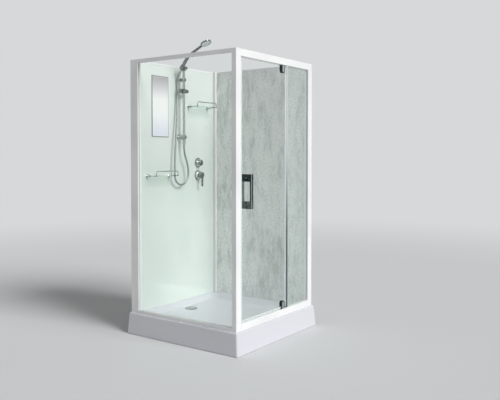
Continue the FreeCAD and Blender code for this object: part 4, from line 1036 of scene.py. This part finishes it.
@dataclass
class Tray(Assembly):
    """The moulded tray, its support and its waste."""

    def __post_init__(self) -> None:
        """Lists the finishes."""
        self.finishes = {
            "shower_tray": ACRYLIC,
            "tray_frame": ZINC,
            "tray_feet": BLACK_PLASTIC,
            "waste_flange": CHROME,
            "waste_seal": RUBBER,
            "waste_trap": BLACK_PLASTIC,
            "waste_cover": BRUSHED_CHROME,
        }


@dataclass
class WhiteFrame(Assembly):
    """The coated extrusions and their caps."""

    def __post_init__(self) -> None:
        """Lists the finishes."""
        bars = (
            "corner_post",
            "left_post",
            "left_wall_channel",
            "right_post",
            "right_wall_channel",
            "rear_corner_profile",
            "left_top_rail",
            "left_bottom_rail",
            "front_top_rail",
            "front_bottom_rail",
            "panel_top_trims",
        )
        self.finishes = {bar: WHITE_COAT for bar in bars}
        self.finishes |= {"rail_infills": WHITE_CAP, "post_caps": WHITE_CAP}


@dataclass
class Glazing(Assembly):
    """The fixed glass, the panels and what holds them."""

    def __post_init__(self) -> None:
        """Lists the finishes."""
        self.finishes = {
            "left_glass": PANE,
            "fixed_glass": BLOOMED_PANE,
            "glazing_gaskets": GASKET,
            "fixed_edge_profile": POLISHED,
            "rear_panel": MINT,
            "right_panel": CONCRETE,
            "strike_seal": CLEAR_STRIP,
            "pivot_bushes": ACETAL,
        }


@dataclass
class Door(Assembly):
    """The pivot door."""

    def __post_init__(self) -> None:
        """Lists the finishes."""
        self.finishes = {
            "door_glass": PANE,
            "magnet_seal": CLEAR_STRIP,
            "hinge_seal": CLEAR_STRIP,
            "drip_seal": CLEAR_STRIP,
            "upper_pivot_clamp": self.clamp_finish("upper_pivot_clamp"),
            "lower_pivot_clamp": self.clamp_finish("lower_pivot_clamp"),
            "clamp_screws": CHROME,
            # The two grips are the same plate, the outer one painted darker as shade and the inner
            # one lighter.
            "outer_handle": self.handle_finish("outer_handle", "#474f4d"),
            "inner_handle": self.handle_finish("inner_handle", "#8f9794"),
            "handle_washers": ACETAL,
        }

    def clamp_finish(self, node: str) -> BevelledPlate:
        """Fits the clamps' finish to one of them.

        Args:
            node: The clamp's solid.

        Returns:
            The finish, with the bevel along that clamp's edges.
        """
        low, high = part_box(node)
        # Chrome plate, polished and bevelled: a bright block in a dark outline of painted shade.
        return BevelledPlate(
            f"{node}_chrome", CHROME.colour, CHROME.roughness, metallic=1.0, low=low, high=high
        )

    def handle_finish(self, node: str, colour: str) -> EdgedGrip:
        """Fits the handles' finish to one of them.

        Args:
            node: The handle's solid.
            colour: Its grip's colour, painted darker outside than inside as shade.

        Returns:
            The finish, with painted highlights along that handle's edges.
        """
        # The painted highlights lie on the outsides of the pair, away from the glass.
        low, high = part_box("outer_handle")[0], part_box("inner_handle")[1]
        # Black chrome plate, polished: dark, with a painted highlight along its arrises.
        return EdgedGrip(
            f"{node}_chrome", colour, CHROME.roughness, metallic=1.0, low=low, high=high
        )


@dataclass
class Fittings(Assembly):
    """The mirror and the shelves."""

    def __post_init__(self) -> None:
        """Lists the finishes."""
        low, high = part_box("mirror")
        # Silvered glass as painted reflection: the cabin's brightest field, in a thin grey painted
        # shade.
        silver = SilveredGlass("silvered_glass", "#ffffff", 0.02, metallic=0.15, low=low, high=high)
        self.finishes = {
            "mirror": silver,
            "shelf_glasses": SHELF_PANE,
            "shelf_brackets": CHROME,
            "shelf_guards": CHROME,
        }


@dataclass
class HandShower(Assembly):
    """The riser rail, the sliding clamp and the hand shower on its hose.

    Attributes:
        head_tilt_degrees: How far the spray face looks away from straight down, towards the door.
        face_lift_mm: How far the spray plate's outer face lies from the plate's middle.
        nozzle_rings: The radius in millimetres of each ring of nozzles, and how many it has.
        nozzle_mm: A nozzle's foot diameter, tip diameter and height.
        nozzle_sides: How many sides a nozzle is drawn with.
        nozzle_sunk: The share of a nozzle's height that is sunk in the plate.
        hose_mm: The hose's diameter.
        hose_length: Its length from nut to nut, in metres; not used.
        hose_order: The order of the curve that the hose follows.
        hose_steps: How many steps the curve takes from point to point.
        hose_roundness: How finely the hose's quarters are rounded.
        route: The hose's control points in metres, from the wall outlet up to the hand shower.
    """

    head_tilt_degrees: float = 26.0
    face_lift_mm: float = 2.0
    nozzle_rings: tuple[tuple[float, int], ...] = ((6, 6), (12, 10), (18, 16), (24, 20), (29, 26))
    nozzle_mm: tuple[float, float, float] = (2.6, 1.6, 1.2)
    nozzle_sides: int = 10
    nozzle_sunk: float = 0.25
    hose_mm: float = 14.0
    hose_length: float = 1.288
    hose_order: int = 3
    hose_steps: int = 10
    hose_roundness: int = 5
    route: tuple[Point, ...] = (
        (0.018, 0.405, 1.375),
        (0.018, 0.405, 1.319),
        (0.058, 0.41, 1.25),
        (0.078, 0.413, 1.185),
        (0.079, 0.416, 1.117),
        (0.033, 0.418, 1.07),
        (-0.033, 0.418, 1.07),
        (-0.079, 0.416, 1.117),
        (-0.079, 0.415, 1.212),
        (-0.073, 0.416, 1.318),
        (-0.061, 0.419, 1.425),
        (-0.047, 0.424, 1.535),
        (-0.035, 0.43, 1.645),
        (-0.024, 0.437, 1.745),
        (-0.014, 0.443, 1.83),
        (-0.022, 0.4447, 1.8908),
        (-0.022, 0.4125, 1.9367),
    )

    def __post_init__(self) -> None:
        """Lists the finishes."""
        self.finishes = {
            "riser_rail": CHROME,
            "rail_wall_bracket": RISER_CHROME,
            "hose_outlet": RISER_CHROME,
            "holder_base": SHADED_CHROME,
            "slider_clamp": SHADED_CHROME,
            "slider_knob": SHADED_CHROME,
            "holder_cradle": SHADED_CHROME,
            "handset": SHADED_CHROME,
            "spray_face": SILICONE,
            "hose_top_nut": CHROME,
            "hose_bottom_nut": CHROME,
        }

    def build(self) -> None:
        """Builds the hose and the spray nozzles."""
        self.build_hose()
        self.build_nozzles()

    def build_hose(self) -> None:
        """Builds the hose as one smooth tube along its route, in place of the hose solid."""
        curve = bpy.data.curves.new("hose_route", "CURVE")
        curve.dimensions = "3D"
        spline = curve.splines.new("NURBS")
        spline.points.add(len(self.route) - 1)
        for point, place in zip(spline.points, self.route):
            point.co = (*place, 1.0)
        spline.order_u = self.hose_order
        spline.use_endpoint_u = True
        curve.resolution_u = self.hose_steps
        holder = put_in_scene("hose_route", curve)
        line = bpy.data.meshes.new_from_object(holder)
        curve.bevel_depth = metres(self.hose_mm) / 2
        curve.bevel_resolution = self.hose_roundness
        curve.use_fill_caps = True
        tube = bpy.data.meshes.new_from_object(holder)
        tube.name = "hose_tube"
        bpy.data.objects.remove(holder)
        hose = mesh_piece("hose_tube", tube, SHEATH)
        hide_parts("shower_hose")
        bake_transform(hose)

    def build_nozzles(self) -> None:
        """Builds the rings of soft nozzles on the spray face."""
        low, high = (Vector(corner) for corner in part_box("spray_face"))
        tilt = Matrix.Rotation(math.radians(-self.head_tilt_degrees), 4, "X")
        down = tilt.to_3x3() @ Vector((0.0, 0.0, -1.0))
        foot, tip, height = (metres(size) for size in self.nozzle_mm)
        # The middle of a nozzle stands this far off the spray plate's face.
        stand = down * height * (0.5 - self.nozzle_sunk)
        centre = (low + high) / 2 + down * metres(self.face_lift_mm)
        shape = bmesh.new()
        for radius, count in self.nozzle_rings:
            for i in range(count):
                angle = math.tau * i / count
                offset = Vector((math.cos(angle), math.sin(angle), 0.0)) * metres(radius)
                place = centre + tilt.to_3x3() @ offset + stand
                spot = Matrix.Translation(place) @ tilt @ Matrix.Rotation(math.pi, 4, "X")
                bmesh.ops.create_cone(
                    shape,
                    cap_ends=True,
                    segments=self.nozzle_sides,
                    radius1=foot / 2,
                    radius2=tip / 2,
                    depth=height,
                    matrix=spot,
                )
        nozzles = mesh_piece("spray_nozzles", mesh_from("spray_nozzles", shape), SILICONE)
        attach(nozzles, "hand_shower")


@dataclass
class Valves(Assembly):
    """The mixer, the diverter and what feeds them."""

    def __post_init__(self) -> None:
        """Lists the finishes."""
        self.finishes = {
            "valve_block": PART_PLATED,
            "outlet_pipe": BRASS,
            "valve_plates": ROSE_CHROME,
            "mixer_stem": SHADED_CHROME,
            "mixer_lever": SHADED_CHROME,
            "diverter_knob": SHADED_CHROME,
        }


@dataclass(frozen=True)
class StudioFloor(GrainedPlastic):
    """Pale matt flooring that keeps the cabin's shadow near it and fades to the plain background
    far from it, so that no horizon shows.

    Attributes:
        background: The background's colour.
        fade: How far from the middle the fade starts and ends, in metres.
    """

    background: str = "#d6d8d9"
    fade: Span = (3.5, 9.0)

    def detail(self, surface: Surface) -> None:
        """Adds the grain and the fade to the background.

        Args:
            surface: The material in the making.
        """
        super().detail(surface)
        tree = surface.tree
        away = add_node(tree, "ShaderNodeVectorMath", {"operation": "LENGTH"}, {0: surface.place})
        start, end = self.fade
        faded = add_node(
            tree,
            "ShaderNodeMapRange",
            {"interpolation_type": "SMOOTHSTEP", "From Min": start, "From Max": end},
            {"Value": away.outputs["Value"]},
        )
        share = add_node(
            tree,
            "ShaderNodeMath",
            {"operation": "MULTIPLY"},
            {0: faded.outputs["Result"], 1: seen_directly(tree)},
        )
        plain = add_node(
            tree, "ShaderNodeEmission", {"Color": linear(self.background), "Strength": 1.0}
        )
        show_mixed(
            tree,
            "Material Output",
            share.outputs["Value"],
            surface.shader.outputs["BSDF"],
            plain.outputs["Emission"],
        )


# Pale vinyl flooring: matt, and a little cooler than the cabin.
FLOORING = StudioFloor("pale_vinyl_floor", "#dcdedf", 0.85, grain=Pattern(4.0))


@dataclass
class Studio:
    """The floor, the light and the camera.

    Attributes:
        floor_radius: The floor's radius, in metres.
        floor_sides: How many sides the round floor is drawn with.
        camera_place: Where the camera stands.
        camera_yaw: Its heading in degrees from +X towards +Y.
        camera_pitch: How far it looks down, in degrees.
        camera_reach: How far it sees, in metres.
        focal_px: Its focal length in pixels of the photograph.
        shift_px: How far the middle of the photograph lies over its axis, in the same pixels.
        key_strength: The sun-like key light's strength.
        key_yaw: The heading of the key light's rays, in degrees from +X towards +Y.
        key_height: How steeply they fall, in degrees.
        key_softness: The key light's width in the sky, in degrees.
        ambient: The strength of the light from all round.
    """

    floor_radius: float = 60.0
    floor_sides: int = 96
    camera_place: Point = (-3.7768, -2.9454, 1.3027)
    camera_yaw: float = 35.62
    camera_pitch: float = 1.79
    camera_reach: float = 100.0
    focal_px: float = 644.4
    shift_px: float = -25.0
    key_strength: float = 2.65
    key_yaw: float = 87.0
    key_height: float = 38.0
    key_softness: float = 28.0
    ambient: float = 0.235

    def build(self) -> None:
        """Builds the stage, the lights and the camera."""
        self.build_floor()
        self.build_key()
        self.build_air()
        self.build_camera()

    def build_floor(self) -> None:
        """Builds one wide round floor."""
        shape = bmesh.new()
        bmesh.ops.create_circle(
            shape, cap_ends=True, segments=self.floor_sides, radius=self.floor_radius
        )
        mesh_piece("studio_floor", mesh_from("studio_floor", shape), FLOORING)

    def build_key(self) -> None:
        """Sets the soft key light on the door side."""
        key = bpy.data.lights.new("key_light", "SUN")
        key.energy = self.key_strength
        key.angle = math.radians(self.key_softness)
        lamp = put_in_scene("key_light", key)
        lamp.rotation_euler = facing(self.key_yaw, self.key_height)

    def build_air(self) -> None:
        """Lights the cabin evenly from all round, and shows the plain background."""
        world = bpy.data.worlds.new("studio_air")
        bpy.context.scene.world = world
        world.use_nodes = True
        tree = world.node_tree
        white = (1.0, 1.0, 1.0, 1.0)
        lit, shown = (
            add_node(tree, "ShaderNodeBackground", {"Color": colour, "Strength": strength})
            for colour, strength in ((white, self.ambient), (linear(FLOORING.background), 1.0))
        )
        show_mixed(
            tree,
            "World Output",
            seen_directly(tree),
            lit.outputs["Background"],
            shown.outputs["Background"],
        )

    def build_camera(self) -> None:
        """Stands the camera where the photograph was taken from."""
        data = bpy.data.cameras.new("camera")
        data.sensor_width = SENSOR_MM
        data.lens = self.focal_px / PHOTO_WIDTH * data.sensor_width
        data.shift_y = self.shift_px / PHOTO_WIDTH
        data.clip_end = self.camera_reach
        camera = put_in_scene("camera", data)
        camera.location = self.camera_place
        camera.rotation_euler = facing(self.camera_yaw, self.camera_pitch)
        bpy.context.scene.camera = camera


def clear_scene() -> None:
    """Empties the scene that the program starts with."""
    for item in list(bpy.data.objects):
        bpy.data.objects.remove(item)


def main() -> None:
    """Builds and dresses the cabin, and sets the stage."""
    logging.basicConfig(level=logging.INFO, format="%(message)s")
    clear_scene()
    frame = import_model()
    bpy.context.scene.view_settings.view_transform = "Standard"
    Studio().build()
    assemblies = (
        Tray(frame),
        WhiteFrame(frame),
        Glazing(frame),
        Door(frame),
        Fittings(frame),
        HandShower(frame),
        Valves(frame),
    )
    for assembly in assemblies:
        assembly.build()
        assembly.dress()


if __name__ == "__main__":
    main()
